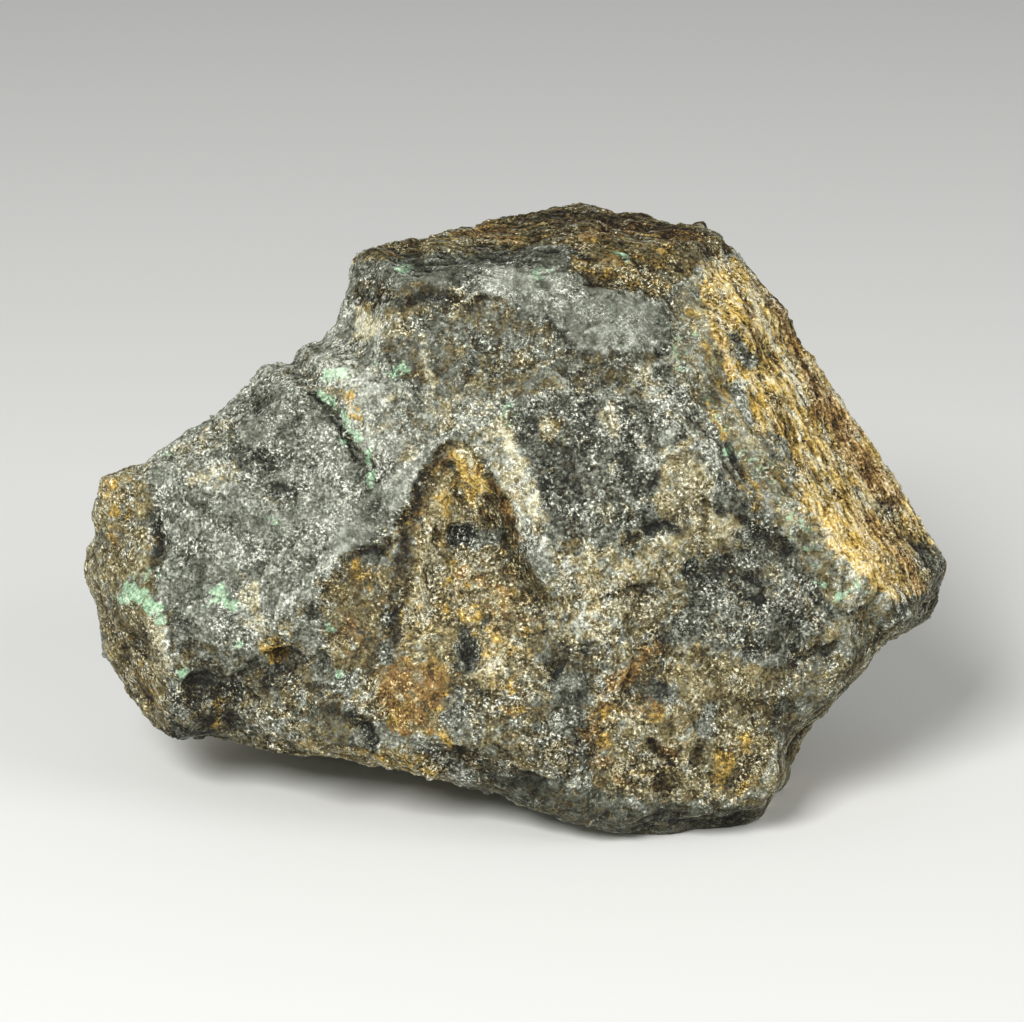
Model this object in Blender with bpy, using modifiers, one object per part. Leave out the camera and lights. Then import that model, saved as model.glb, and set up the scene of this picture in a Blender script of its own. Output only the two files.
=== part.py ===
"""A hand-sized lump of allanite in its country rock: one broken, weathered piece of stone.

The stone is laid out as someone facing its best side sees it. There a place is (right, up, near):
millimetres to the viewer's right, upwards, and towards the viewer, from the middle of the stone.
The viewer looks down on it by VIEWER_ABOVE degrees, so the finished stone is turned by that angle
to stand on its flat underside, with +Z up and the viewer on the -Y side.
"""

import math

import bmesh
import bpy
import numpy as np
from mathutils import Matrix, Vector, noise

MM = 0.001
STONE = "allanite_stone"

# Degrees by which the viewer looks down, and the viewer's distance in millimetres
VIEWER_ABOVE = 20.0
VIEWER_DISTANCE = 480.0
DOWN = (0.0, -math.cos(math.radians(VIEWER_ABOVE)), -math.sin(math.radians(VIEWER_ABOVE)))

# The unbroken block's side, and the spacing of the even skin that is laid over the broken stone
BLANK = 240.0
SKIN_SPACING = 1.2
MOST_TRIANGLES = 8800

# The flat underside passes through this place, and the rock goes on below it until it is cut
LOWEST_UP = -43.4
LOWEST_NEAR = 16.0
SPARE_BELOW = 3.0

# The relief: sizes and heights in millimetres, leans as rise over run, spacings in waves per millimetre
BIG_CHIP_SIZE = 21.0
BIG_CHIP_LEAN = 0.26
BIG_CHIPS_ON_BEST_SIDE = 0.2
SMALL_CHIP_SIZE = 8.5
SMALL_CHIP_LEAN = 0.30
WEATHERING_HEIGHT = 0.45
WEATHERING_WAVES = 0.16
CALMING = 0.55
DRIFT_REACH = 2.5
DRIFT_WAVES = 0.09
WOBBLE_REACH = 1.3
LEDGE_HEIGHT = 1.3
LEDGE_WAVES = 0.02
LEDGE_STEEPNESS = 11.0
LAYERS_FACE = (-0.05, 0.10, 0.99)
NOISE_START = (140.0, 60.0, 20.0)
NOISE_SEED = 7

# The sectors in which the rim is measured when it is drawn to the outline
SECTORS = 300

# Each lump is a blank of rock that breaks along these faces: a place on the face, and the way it faces
MAIN_LUMP = {
    "front_upper": ((12, 3, 24), (-0.02, 0.20, 0.98)),
    "front_lower": ((12, 3, 24), (0.02, 0.00, 1.00)),
    "front_left": ((-27, -2, 17.6), (-0.25, 0.11, 0.96)),
    "front_foot_left": ((-3, -34, 21), (-0.26, -0.72, 0.70)),
    "front_foot": ((14, -38, 20.5), (0.04, -0.75, 0.66)),
    "right_lower_front": ((34, -12, 20), (0.16, -0.10, 0.98)),
    "green_bevel": ((31, 6, 21.4), (0.40, 0.43, 0.81)),
    "rusty_face": ((38, 9, 15.6), (0.68, 0.47, 0.56)),
    "right_under": ((45, -27, 0), (0.70, -0.66, 0.22)),
    "right_tip": ((59.5, -7, -1), (0.93, -0.35, 0.10)),
    "top": ((-6, 36, 13), (-0.03, 0.96, 0.28)),
    "top_front_bevel": ((8, 26.5, 19), (0.12, 0.55, 0.83)),
    "upper_left_side": ((-23, 31, 5), (-0.86, 0.27, 0.43)),
    "back_top_left": ((-23.5, 31, 0), (-0.70, 0.38, -0.60)),
    "back_top_right": ((17, 43, -20), (0.15, 0.45, -0.88)),
    "top_right_corner": ((29, 38, -12), (0.62, 0.74, -0.25)),
    "back_right_upper": ((46, 15, -2), (0.66, 0.44, -0.61)),
    "back_right_lower": ((46, -27, -1), (0.57, -0.53, -0.62)),
    "back": ((4, 0, -33), (0.10, 0.04, -0.99)),
    "back_low": ((0, -20, -33), (-0.05, -0.30, -0.92)),
    "back_left": ((-26, -10, -24), (-0.62, -0.05, -0.78)),
    "under_left": ((-3, -38.5, 15), (-0.27, -0.95, -0.12)),
    "underside": ((20, LOWEST_UP - SPARE_BELOW, LOWEST_NEAR), DOWN),
}
LEFT_LUMP = {
    "plate": ((-27, -2, 18), (-0.25, 0.11, 0.96)),
    "plate_rim": ((-50, -2, 12.5), (-0.66, 0.10, 0.74)),
    "left_rim": ((-56, 0, 6), (-0.92, 0.16, 0.36)),
    "left_foot": ((-51.5, -16, 9), (-0.80, -0.34, 0.50)),
    "left_foot_back": ((-54.5, -20, -3), (-0.78, -0.42, -0.46)),
    "top_bevel": ((-42, 13.5, 10), (-0.47, 0.72, 0.51)),
    "top_back": ((-41, 16, 5), (-0.46, 0.66, -0.60)),
    "foot_front": ((-34, -21, 17), (-0.10, -0.60, 0.79)),
    "underside": ((-38, -31.5, 8), (-0.10, -0.985, -0.14)),
    "back": ((-40, -4, -18), (-0.40, 0.00, -0.91)),
    "floor": ((20, LOWEST_UP - SPARE_BELOW, LOWEST_NEAR), DOWN),
    "inside": ((-22, 22, 10), (0.86, 0.50, 0.05)),
}

# The splits that stayed flatter than the rest
EVEN_FACES = (
    MAIN_LUMP["front_left"][1],
    MAIN_LUMP["top_front_bevel"][1],
    MAIN_LUMP["rusty_face"][1],
    MAIN_LUMP["underside"][1],
)

# The stone's outline as the viewer sees it: (right, up), clockwise from the left tip
OUTLINE = (
    (-60.0, -7.4), (-59.2, -2.5), (-58.5, 2.5), (-57.8, 6.0), (-55.3, 7.6), (-52.2, 8.5),
    (-49.4, 10.3), (-43.2, 13.5), (-39.0, 16.9), (-35.8, 21.1), (-34.0, 21.8), (-31.4, 21.7),
    (-30.4, 23.6), (-29.3, 24.9), (-27.5, 25.4), (-25.8, 26.7), (-24.9, 28.6), (-24.3, 30.8),
    (-23.6, 33.6), (-22.8, 36.1), (-21.0, 37.8), (-18.2, 38.6), (-13.3, 39.3), (-8.5, 40.6),
    (0.6, 42.5), (8.9, 44.2), (11.7, 43.9), (13.8, 42.9), (17.2, 42.8), (20.0, 41.9),
    (22.8, 41.4), (25.6, 41.4), (28.6, 39.2), (31.8, 36.7), (34.2, 33.3), (37.8, 29.2),
    (38.4, 26.7), (39.4, 24.9), (45.7, 15.8), (51.3, 7.9), (57.5, -1.4), (60.0, -5.6),
    (59.3, -8.1), (58.5, -10.8), (57.2, -13.3), (55.4, -15.0), (52.2, -16.8), (49.9, -18.8),
    (47.1, -22.0), (44.3, -25.1), (41.0, -28.5), (39.4, -31.0), (38.3, -33.8), (38.1, -35.8),
    (36.0, -38.6), (34.6, -40.7), (30.4, -42.8), (27.6, -43.9), (24.2, -43.9), (20.7, -44.0),
    (17.2, -43.6), (10.3, -42.1), (4.0, -40.3), (-2.9, -37.5), (-9.9, -35.8), (-18.2, -34.0),
    (-24.4, -32.6), (-30.0, -32.6), (-38.3, -30.7), (-43.9, -30.3), (-47.4, -29.9), (-51.1, -27.5),
    (-54.3, -23.3), (-57.4, -18.1), (-58.2, -12.5),
)

# Pieces that broke out of the best side, each given by the faces it came away from
BROKEN_OUT = {
    "hollow": {
        "left_wall": ((-14.2, -2.5, 22.5), (-0.66, 0.22, -0.72)),
        "right_wall": ((-2.8, 4, 23), (0.76, 0.44, -0.48)),
        "floor": ((-4, -27, 22.2), (0.02, -0.15, -0.99)),
    },
    "under_plate": {
        "wall": ((-21.5, -3.3, 19.5), (-0.62, 0.54, -0.57)),
        "floor": ((-18, -22, 19.6), (0.24, -0.02, -0.97)),
    },
    "under_ledge": {
        "ledge": ((-8, 31, 17), (0.10, 0.80, -0.60)),
        "floor": ((-6, 15, 21.5), (0.03, -0.31, -0.95)),
        "left_end": ((-20.5, 28, 16), (-0.90, 0.10, -0.40)),
    },
}

# Valleys: a line (right, up), the depth, and the half-width
VALLEYS = (
    (((-33, 23.5), (-28, 18.5), (-23.8, 12.8), (-21, 7.5), (-20.3, 3), (-19.8, 0)), 2.3, 1.6),
    (((-46, -24.5), (-42, -22), (-36.5, -19.5), (-30, -18.8), (-26, -19.8)), 1.9, 1.7),
    (((26, -9), (21, -16), (18, -21), (14, -24.7), (10.6, -30), (10.3, -37)), 1.6, 2.4),
    (((-57, -10), (-52.5, -12), (-49, -17), (-47.6, -24), (-47, -30)), -1.2, 1.6),
)

# Pits and knobs: (right, up), depth, half-width across, half-width up
PITS = (
    ((19.3, -0.7), 2.3, 2.8, 1.0),
    ((-43.9, -23.3), 2.0, 2.6, 1.6),
    ((-7.5, -1.5), 1.4, 2.8, 2.0),
    ((-7.6, -18.0), 1.5, 2.6, 3.4),
    ((-20.5, -29.0), 1.4, 1.8, 1.2),
    ((-34.5, 8.8), 1.2, 3.2, 1.2),
    ((-50.0, -1.5), 1.0, 2.0, 3.0),
    ((33, -14), -1.6, 7.0, 5.0),
    ((-14.5, -22.5), -1.2, 4.0, 3.5),
    ((24, -28), -1.6, 7.0, 6.0),
    ((44, -16), -1.2, 4.0, 2.4),
    ((8, -22), -1.0, 7.0, 5.0),
)


def clear_scene():
    for old in list(bpy.data.objects):
        bpy.data.objects.remove(old)


def collection_named(name):
    made = bpy.data.collections.new(name)
    bpy.context.scene.collection.children.link(made)
    return made


def ease(low, high, value):
    """0 below low and 1 above high, with a smooth rise between; the other way round if low is the larger."""
    share = np.clip((value - low) / (high - low), 0.0, 1.0)
    return share * share * (3.0 - 2.0 * share)


def broken_lump(name, faces, collection):
    """A block of rock that has split along each of the named faces."""
    bm = bmesh.new()
    bmesh.ops.create_cube(bm, size=BLANK * MM)
    for place, facing in faces.values():
        cut = bmesh.ops.bisect_plane(
            bm,
            geom=bm.verts[:] + bm.edges[:] + bm.faces[:],
            plane_co=Vector(place) * MM,
            plane_no=Vector(facing),
            clear_outer=True,
        )
        rim = [edge for edge in cut["geom_cut"] if isinstance(edge, bmesh.types.BMEdge)]
        bmesh.ops.edgenet_fill(bm, edges=rim)
    bmesh.ops.recalc_face_normals(bm, faces=bm.faces[:])
    mesh = bpy.data.meshes.new(name)
    bm.to_mesh(mesh)
    bm.free()
    lump = bpy.data.objects.new(name, mesh)
    collection.objects.link(lump)
    return lump


def shaping_lump(name, faces, collection):
    """A lump that only serves to shape the stone."""
    lump = broken_lump(name, faces, collection)
    lump.display_type = "WIRE"
    lump.hide_render = True
    return lump


def settled(stone):
    """Puts the object's modified shape in place of its mesh and drops the modifiers."""
    graph = bpy.context.evaluated_depsgraph_get()
    shape = bpy.data.meshes.new_from_object(stone.evaluated_get(graph))
    stone.modifiers.clear()
    stone.data = shape


def even_skin(stone, smoothings):
    """Lays an even skin of small faces over the stone, and wears its edges a little."""
    skin = stone.modifiers.new("skin", "REMESH")
    skin.mode = "VOXEL"
    skin.voxel_size = SKIN_SPACING * MM
    wear = stone.modifiers.new("wear", "SMOOTH")
    wear.factor = 0.5
    wear.iterations = smoothings
    settled(stone)


def combine(stone, other, operation):
    """Adds the other lump to the stone (UNION) or takes it away (DIFFERENCE)."""
    combined = stone.modifiers.new("combined", "BOOLEAN")
    combined.operation = operation
    combined.solver = "EXACT"
    combined.object = other
    settled(stone)
    bpy.data.objects.remove(other)


def places(stone):
    """The stone's points and the ways they face, in (right, up, near) millimetres."""
    count = len(stone.data.vertices)
    points = np.empty(count * 3)
    facing = np.empty(count * 3)
    stone.data.vertices.foreach_get("co", points)
    stone.data.vertices.foreach_get("normal", facing)
    return points.reshape(-1, 3) / MM, facing.reshape(-1, 3)


def move_to(stone, points):
    stone.data.vertices.foreach_set("co", (points * MM).ravel())
    stone.data.update()


def distance_to_line(line, points):
    """How far each (right, up) point lies from an open line of straight runs."""
    corners = np.array(line, float)
    nearest = np.full(len(points), np.inf)
    for start, end in zip(corners[:-1], corners[1:]):
        run = end - start
        share = np.clip(((points - start) @ run) / (run @ run), 0.0, 1.0)
        nearest = np.minimum(nearest, np.linalg.norm(points - start - share[:, None] * run, axis=1))
    return nearest


def seen(points):
    """Where the viewer sees each point: its (right, up) where the line of sight crosses near = 0."""
    return points[:, :2] * (VIEWER_DISTANCE / (VIEWER_DISTANCE - points[:, 2:3]))


def carve_best_side(stone):
    """Sinks the valleys and pits of the side that the viewer sees, and raises its knobs."""
    points, facing = places(stone)
    flat = seen(points)
    wobble = [noise.noise_vector(Vector(point) * WEATHERING_WAVES)[:2] for point in points]
    flat = flat + np.array(wobble) * WOBBLE_REACH
    right, up = flat.T
    deeper = np.zeros(len(points))
    for line, depth, half_width in VALLEYS:
        deeper += depth * np.exp(-((distance_to_line(line, flat) / half_width) ** 2))
    for (pit_right, pit_up), depth, across, high in PITS:
        deeper += depth * np.exp(-(((right - pit_right) / across) ** 2) - ((up - pit_up) / high) ** 2)
    deeper *= ease(-0.05, 0.35, facing[:, 2])
    points[:, 2] -= deeper
    move_to(stone, points)


def chip(place, size, lean):
    """The height of a surface that has flaked off in flat chips of about this size."""
    at = place / size
    _, chip_middles = noise.voronoi(at)
    middle = chip_middles[0]
    tilt = noise.cell_vector(middle * 17.3) - Vector((0.5, 0.5, 0.5))
    return (at - middle).dot(tilt) * size * lean


def roughen(stone):
    """Gives the sides their relief: flat chips, weathering, and ledges where the layers crop out."""
    points, facing = places(stone)
    calm = np.ones(len(points))
    for even in EVEN_FACES:
        direction = np.array(even)
        calm -= CALMING * ease(0.93, 0.985, facing @ (direction / np.linalg.norm(direction)))
    big = 1.0 - (1.0 - BIG_CHIPS_ON_BEST_SIDE) * ease(-0.1, 0.3, facing[:, 2])
    layers = Vector(LAYERS_FACE)
    across = 1.0 - (facing @ np.array(LAYERS_FACE)) ** 2
    height = np.empty(len(points))
    for i, point in enumerate(points):
        place = Vector(point) + Vector(NOISE_START)
        drifted = place + noise.noise_vector(place * DRIFT_WAVES) * DRIFT_REACH
        stretched = place + layers * place.dot(layers) * LEDGE_STEEPNESS
        height[i] = calm[i] * (
            big[i] * chip(drifted, BIG_CHIP_SIZE, BIG_CHIP_LEAN)
            + chip(drifted, SMALL_CHIP_SIZE, SMALL_CHIP_LEAN)
            + WEATHERING_HEIGHT * noise.fractal(place * WEATHERING_WAVES, 0.8, 2.1, 4)
            + LEDGE_HEIGHT * across[i] * noise.noise(stretched * LEDGE_WAVES)
        )
    points += facing * height[:, None]
    move_to(stone, points)


def fit_outline(stone, blur, start):
    """Draws the stone's rim in or out so that the viewer sees it end at OUTLINE.

    The rim is measured in narrow sectors and evened out over blur of them to each side. The shift
    begins at the start share of the way from the middle to the rim.
    """
    points, _ = places(stone)
    flat = seen(points)
    reach = np.hypot(flat[:, 0], flat[:, 1])
    turn = np.arctan2(flat[:, 1], flat[:, 0])
    slot = ((turn + math.pi) / (2 * math.pi) * SECTORS).astype(int) % SECTORS
    rim = np.zeros(SECTORS)
    np.maximum.at(rim, slot, reach)
    shifts = range(-blur, blur + 1)
    rim = sum(np.roll(rim, shift) for shift in shifts) / len(shifts)
    middles = (np.arange(SECTORS) + 0.5) / SECTORS * 2 * math.pi - math.pi
    corners = np.array(OUTLINE)
    goal_turn = np.arctan2(corners[:, 1], corners[:, 0])
    order = np.argsort(goal_turn)
    goal_reach = np.hypot(corners[:, 0], corners[:, 1])[order]
    now = np.interp(turn, middles, rim, period=2 * math.pi)
    goal = np.interp(turn, goal_turn[order], goal_reach, period=2 * math.pi)
    share = ease(start, 1.0, reach / now)
    points[:, :2] *= (1.0 + (goal / now - 1.0) * share)[:, None]
    move_to(stone, points)


def thin_out(stone):
    """Brings the skin down to few enough faces, keeping its edges."""
    triangles = 2 * len(stone.data.polygons)
    thin = stone.modifiers.new("thin", "DECIMATE")
    thin.ratio = MOST_TRIANGLES / triangles
    thin.use_collapse_triangulate = True
    settled(stone)


def stand_up(stone):
    """Turns the stone from the viewer's layout to its resting pose and cuts its underside flat."""
    to_rest = Matrix.Rotation(math.radians(90.0 - VIEWER_ABOVE), 4, "X")
    bm = bmesh.new()
    bm.from_mesh(stone.data)
    bmesh.ops.transform(bm, matrix=to_rest, verts=bm.verts[:])
    floor = (to_rest @ Vector((0.0, LOWEST_UP, LOWEST_NEAR))) * MM
    cut = bmesh.ops.bisect_plane(
        bm,
        geom=bm.verts[:] + bm.edges[:] + bm.faces[:],
        plane_co=floor,
        plane_no=(0.0, 0.0, -1.0),
        clear_outer=True,
    )
    rim = [edge for edge in cut["geom_cut"] if isinstance(edge, bmesh.types.BMEdge)]
    bmesh.ops.triangle_fill(bm, use_beauty=True, edges=rim)
    bmesh.ops.recalc_face_normals(bm, faces=bm.faces[:])
    low = [min(v.co[axis] for v in bm.verts) for axis in range(3)]
    high = [max(v.co[axis] for v in bm.verts) for axis in range(3)]
    middle = Vector(((low[0] + high[0]) / 2, (low[1] + high[1]) / 2, low[2]))
    bmesh.ops.translate(bm, vec=-middle, verts=bm.verts[:])
    bm.to_mesh(stone.data)
    bm.free()
    print("the viewer's middle is at", [round(-c, 5) for c in middle])


def stone_material():
    rock = bpy.data.materials.new("grey_rock")
    rock.use_nodes = True
    shader = rock.node_tree.nodes["Principled BSDF"]
    shader.inputs["Base Color"].default_value = (0.12, 0.12, 0.105, 1.0)
    shader.inputs["Roughness"].default_value = 0.75
    shader.inputs["Metallic"].default_value = 0.0
    return rock


def main():
    clear_scene()
    noise.seed_set(NOISE_SEED)
    parts = collection_named("allanite")
    helpers = collection_named("shaping_lumps")
    stone = broken_lump(STONE, MAIN_LUMP, parts)
    combine(stone, shaping_lump("left_lump", LEFT_LUMP, helpers), "UNION")
    for name, faces in BROKEN_OUT.items():
        combine(stone, shaping_lump(name, faces, helpers), "DIFFERENCE")
    even_skin(stone, smoothings=2)
    carve_best_side(stone)
    roughen(stone)
    fit_outline(stone, blur=6, start=0.45)
    even_skin(stone, smoothings=1)
    fit_outline(stone, blur=1, start=0.82)
    thin_out(stone)
    stand_up(stone)
    stone.data.materials.clear()
    stone.data.materials.append(stone_material())


main()
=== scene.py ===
# %% [markdown]
# # A hand-sized lump of allanite in its grey rock
# The specimen is a broken lump, 120 mm long. Dark allanite and grey rock are grown together in
# thin layers, and weather has left ochre, rust, cream and copper-green crusts on it.
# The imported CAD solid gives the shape. This script keeps that shape, adds what is finer than
# its facets, and gives the surface its grains, stains and crusts.

import math

import bpy
import numpy as np
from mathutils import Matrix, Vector


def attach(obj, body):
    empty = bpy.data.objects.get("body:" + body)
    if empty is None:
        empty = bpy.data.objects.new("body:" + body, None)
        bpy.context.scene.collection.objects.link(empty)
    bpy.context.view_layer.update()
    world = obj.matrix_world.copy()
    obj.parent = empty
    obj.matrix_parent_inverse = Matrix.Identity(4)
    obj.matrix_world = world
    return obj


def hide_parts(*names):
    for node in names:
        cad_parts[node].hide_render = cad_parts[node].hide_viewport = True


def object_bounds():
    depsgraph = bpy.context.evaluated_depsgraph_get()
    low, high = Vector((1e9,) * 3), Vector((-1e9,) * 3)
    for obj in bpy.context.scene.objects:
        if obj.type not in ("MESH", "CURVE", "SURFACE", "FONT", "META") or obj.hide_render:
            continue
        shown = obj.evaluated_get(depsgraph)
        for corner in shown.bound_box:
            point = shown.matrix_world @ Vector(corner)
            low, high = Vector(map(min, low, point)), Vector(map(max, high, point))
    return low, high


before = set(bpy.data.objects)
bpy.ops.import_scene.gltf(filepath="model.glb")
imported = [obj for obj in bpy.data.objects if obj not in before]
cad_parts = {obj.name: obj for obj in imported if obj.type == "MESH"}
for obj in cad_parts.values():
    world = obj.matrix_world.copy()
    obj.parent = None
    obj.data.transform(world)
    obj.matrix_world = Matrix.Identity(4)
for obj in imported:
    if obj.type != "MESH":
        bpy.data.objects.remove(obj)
cad_low, cad_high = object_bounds()
MM = 0.001
print("CAD box, mm:", [[round(c / MM, 1) for c in corner] for corner in (cad_low, cad_high)])

# %% [markdown]
# ## The viewer
# The stone rests on its flat underside and is seen from 20 degrees above the floor.
# Three directions say where the viewer is: to the right, up in the picture, and towards the eye.
# The same three are used later to place every stain that the picture shows, so they come first.

# %% Where the viewer is
VIEW_RISE = math.radians(20)
VIEW_DISTANCE = 480 * MM
TO_RIGHT = Vector((1, 0, 0))
TO_TOP = Vector((0, math.sin(VIEW_RISE), math.cos(VIEW_RISE)))
TO_EYE = Vector((0, -math.cos(VIEW_RISE), math.sin(VIEW_RISE)))
# the picture's size in dots, the size of a dot on the stone, and the dot where MIDDLE is seen
PICTURE = (1024, 1022)
DOT = 0.13889 * MM
MIDDLE_COLUMN, MIDDLE_ROW = 516, 522
MIDDLE = Vector((0.15, -2.78, 35.31)) * MM
print("one dot of the picture is", round(DOT / MM, 4), "mm on the stone")

# %% The camera
SENSOR = 36
camera_data = bpy.data.cameras.new("camera")
camera_data.sensor_width = SENSOR
camera_data.lens = SENSOR * VIEW_DISTANCE / (PICTURE[0] * DOT)
camera_data.clip_start = 0.01
camera = bpy.data.objects.new("camera", camera_data)
bpy.context.scene.collection.objects.link(camera)
aim = MIDDLE + TO_RIGHT * (PICTURE[0] / 2 - MIDDLE_COLUMN) * DOT
aim += TO_TOP * (MIDDLE_ROW - PICTURE[1] / 2) * DOT
camera.location = aim + TO_EYE * VIEW_DISTANCE
camera.rotation_mode = "QUATERNION"
camera.rotation_quaternion = (-TO_EYE).to_track_quat("-Z", "Y")
bpy.context.scene.camera = camera
print("lens, mm:", round(camera_data.lens, 1))

# %% [markdown]
# ## The studio
# A matt pale floor and large lamps show the stone as a collector's photograph does: soft light
# from above and in front, a weaker lamp on the right for the rusty face, and a pale room.
# Large lamps are used because small ones would cut hard shadows that hide the grain.

# %% The floor
FLOOR_HALF = 4.0
floor_mesh = bpy.data.meshes.new("floor")
floor_corners = [(x * FLOOR_HALF, y * FLOOR_HALF, 0) for x, y in ((-1, -1), (1, -1), (1, 1), (-1, 1))]
floor_mesh.from_pydata(floor_corners, [], [(0, 1, 2, 3)])
floor = bpy.data.objects.new("floor", floor_mesh)
bpy.context.scene.collection.objects.link(floor)
print("floor,", 2 * FLOOR_HALF, "m wide")


# %% The lamps and the room
def lamp(name, direction, distance, size, power):
    """A square softbox that faces the stone from a direction. distance and size are in metres."""
    data = bpy.data.lights.new(name, "AREA")
    data.size = size
    data.energy = power
    made = bpy.data.objects.new(name, data)
    towards = Vector(direction).normalized()
    made.location = MIDDLE + towards * distance
    made.rotation_mode = "QUATERNION"
    made.rotation_quaternion = towards.to_track_quat("Z", "Y")
    bpy.context.scene.collection.objects.link(made)
    print(name, "lamp,", power, "W at", distance, "m")


ROOM_LIGHT = 0.3
lamp("key", (-0.45, -0.85, 0.85), 0.9, 0.35, 8.8)
lamp("side", (1.0, -0.45, 0.7), 0.9, 0.5, 2.6)
room = bpy.data.worlds.new("room")
room.use_nodes = True
room.node_tree.nodes["Background"].inputs["Color"].default_value = (1.0, 1.0, 0.99, 1)
room.node_tree.nodes["Background"].inputs["Strength"].default_value = ROOM_LIGHT
bpy.context.scene.world = room
bpy.context.scene.view_settings.view_transform = "Standard"

# %% [markdown]
# ## Noise for the relief
# Broken rock has no smooth face. Its relief is made of three kinds of noise, all worked out for
# every point of the mesh at once with numpy: a smooth swell, flat chips that meet in sharp
# edges, and thin layers. Fixed tables of random numbers make each run the same.

# %% A smooth swell
SEED = 11
# what brings the smooth noise to about -1 to 1
FULL_SWING = 1.6
dice = np.random.default_rng(SEED)
SHUFFLE = dice.permutation(256)
SLOPES = dice.normal(size=(256, 3))
SLOPES /= np.linalg.norm(SLOPES, axis=1)[:, None]
SPOTS = dice.random((256, 3))
print("noise tables of", len(SHUFFLE), "numbers")


def pick(cell, layer):
    """A number from 0 to 255 for each cell of a grid, the same each run."""
    x, y, z = (cell[:, k] & 255 for k in range(3))
    return SHUFFLE[(SHUFFLE[(SHUFFLE[(x + layer) & 255] + y) & 255] + z) & 255]


def swell(points, size, layer):
    """Smooth noise, about -1 to 1, with bumps of that size."""
    scaled = points / size
    low = np.floor(scaled).astype(np.int64)
    part = scaled - low
    ease = part * part * part * (part * (part * 6 - 15) + 10)
    total = np.zeros(len(points))
    for corner in np.ndindex(2, 2, 2):
        slope = SLOPES[pick(low + corner, layer)]
        reach = part - corner
        share = np.prod(np.where(corner, ease, 1 - ease), axis=1)
        total += share * np.einsum("ij,ij->i", slope, reach)
    return total * FULL_SWING


def rough(points, size, layer, octaves=3, keep=0.5):
    """Swells of half the size are added again and again, each weaker than the last."""
    return sum(swell(points, size / 2**k, layer + 17 * k) * keep**k for k in range(octaves))


# %% Flat chips
def chips(points, size, layer):
    """Each cell is a small tilted plane: its height, the gap to the next cell, and its number."""
    scaled = points / size
    low = np.floor(scaled).astype(np.int64)
    nearest = np.full(len(points), 9.0)
    second = np.full(len(points), 9.0)
    height = np.zeros(len(points))
    number = np.zeros(len(points), int)
    for step in np.ndindex(3, 3, 3):
        cell = low + np.array(step) - 1
        which = pick(cell, layer)
        away = scaled - cell - SPOTS[which]
        far = np.linalg.norm(away, axis=1)
        closer = far < nearest
        second = np.where(closer, nearest, np.minimum(second, far))
        tilt = np.einsum("ij,ij->i", away, SLOPES[(which + 7) & 255])
        height = np.where(closer, tilt, height)
        number = np.where(closer, which, number)
        nearest = np.minimum(nearest, far)
    return height, second - nearest, number


def soft_step(low, high, x):
    """0 below low, 1 above high, and smooth between them."""
    t = np.clip((x - low) / (high - low), 0, 1)
    return t * t * (3 - 2 * t)


# %% [markdown]
# ## The fine body of the stone
# The CAD solid is copied, remeshed into even quads finer than half a millimetre, and smoothed
# until its facets are gone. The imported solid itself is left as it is: the fine piece replaces it.

# %% Copy and remesh
FINE = 0.43 * MM
SMOOTH_ROUNDS = 7
stone = bpy.data.objects.new("allanite_specimen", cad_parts["allanite_stone"].data.copy())
bpy.context.scene.collection.objects.link(stone)


def settle(piece):
    """Applies the modifiers of a piece to its mesh."""
    depsgraph = bpy.context.evaluated_depsgraph_get()
    made = bpy.data.meshes.new_from_object(piece.evaluated_get(depsgraph))
    piece.modifiers.clear()
    piece.data = made


weld = stone.modifiers.new("weld", "WELD")
weld.merge_threshold = 0.01 * MM
remesh = stone.modifiers.new("remesh", "REMESH")
remesh.mode = "VOXEL"
remesh.voxel_size = FINE
smooth = stone.modifiers.new("smooth", "SMOOTH")
smooth.factor = 0.5
smooth.iterations = SMOOTH_ROUNDS
settle(stone)
print("fine quads:", len(stone.data.polygons))


# %% Read and write the points
def read_points(mesh):
    """The points of a mesh and its normals, as two tables, the points in millimetres."""
    points = np.empty(len(mesh.vertices) * 3, np.float32)
    mesh.vertices.foreach_get("co", points)
    normals = np.empty(len(mesh.vertices) * 3, np.float32)
    mesh.vertex_normals.foreach_get("vector", normals)
    return points.reshape(-1, 3).astype(float) / MM, normals.reshape(-1, 3).astype(float)


def write_points(mesh, points):
    """Moves the points of a mesh to places given in millimetres."""
    mesh.vertices.foreach_set("co", (points * MM).astype(np.float32).ravel())
    mesh.update()


def seen_at(points):
    """Column and row of the picture where the viewer sees each point."""
    from_middle = points - np.array(MIDDLE) / MM
    across = from_middle @ np.array(TO_RIGHT)
    up = from_middle @ np.array(TO_TOP)
    near = from_middle @ np.array(TO_EYE)
    closer = (VIEW_DISTANCE / MM) / (VIEW_DISTANCE / MM - near) / (DOT / MM)
    return MIDDLE_COLUMN + across * closer, MIDDLE_ROW - up * closer


points, normals = read_points(stone.data)
print("points before thinning:", len(points))

# %% [markdown]
# ## Places and marks on the best side
# The face that the picture shows is made of some thirty places: a smooth plate, a hollow with
# rusty walls, a pale vein, a foliated top and so on. Each has its own height, brightness and
# stains, and most end at a sharp edge. One table holds them all, so that the relief and the
# finish of a place always meet at the same border. Single cracks, stains and crusts are soft
# spots and strokes on top of that. Noise bends and frays every border, because a border on a
# natural stone is never drawn with a ruler.

# %% Borders that bend and fray
# size of a bend, jag or fray in mm, and how far it goes in dots
BEND, JAG, FRAY = (4.0, 9), (1.3, 4), (2.0, 9)


def wander(points, bend_layer, jag_layer):
    """How far a border is moved at each point, in dots."""
    return swell(points, BEND[0], bend_layer) * BEND[1] + swell(points, JAG[0], jag_layer) * JAG[1]


def far_from_line(column, row, start, end):
    """How far each point is from the straight line between two stations, in dots."""
    along = np.subtract(end, start).astype(float)
    across, down = column - start[0], row - start[1]
    t = np.clip((across * along[0] + down * along[1]) / (along @ along), 0, 1)
    return np.hypot(across - t * along[0], down - t * along[1])


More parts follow.
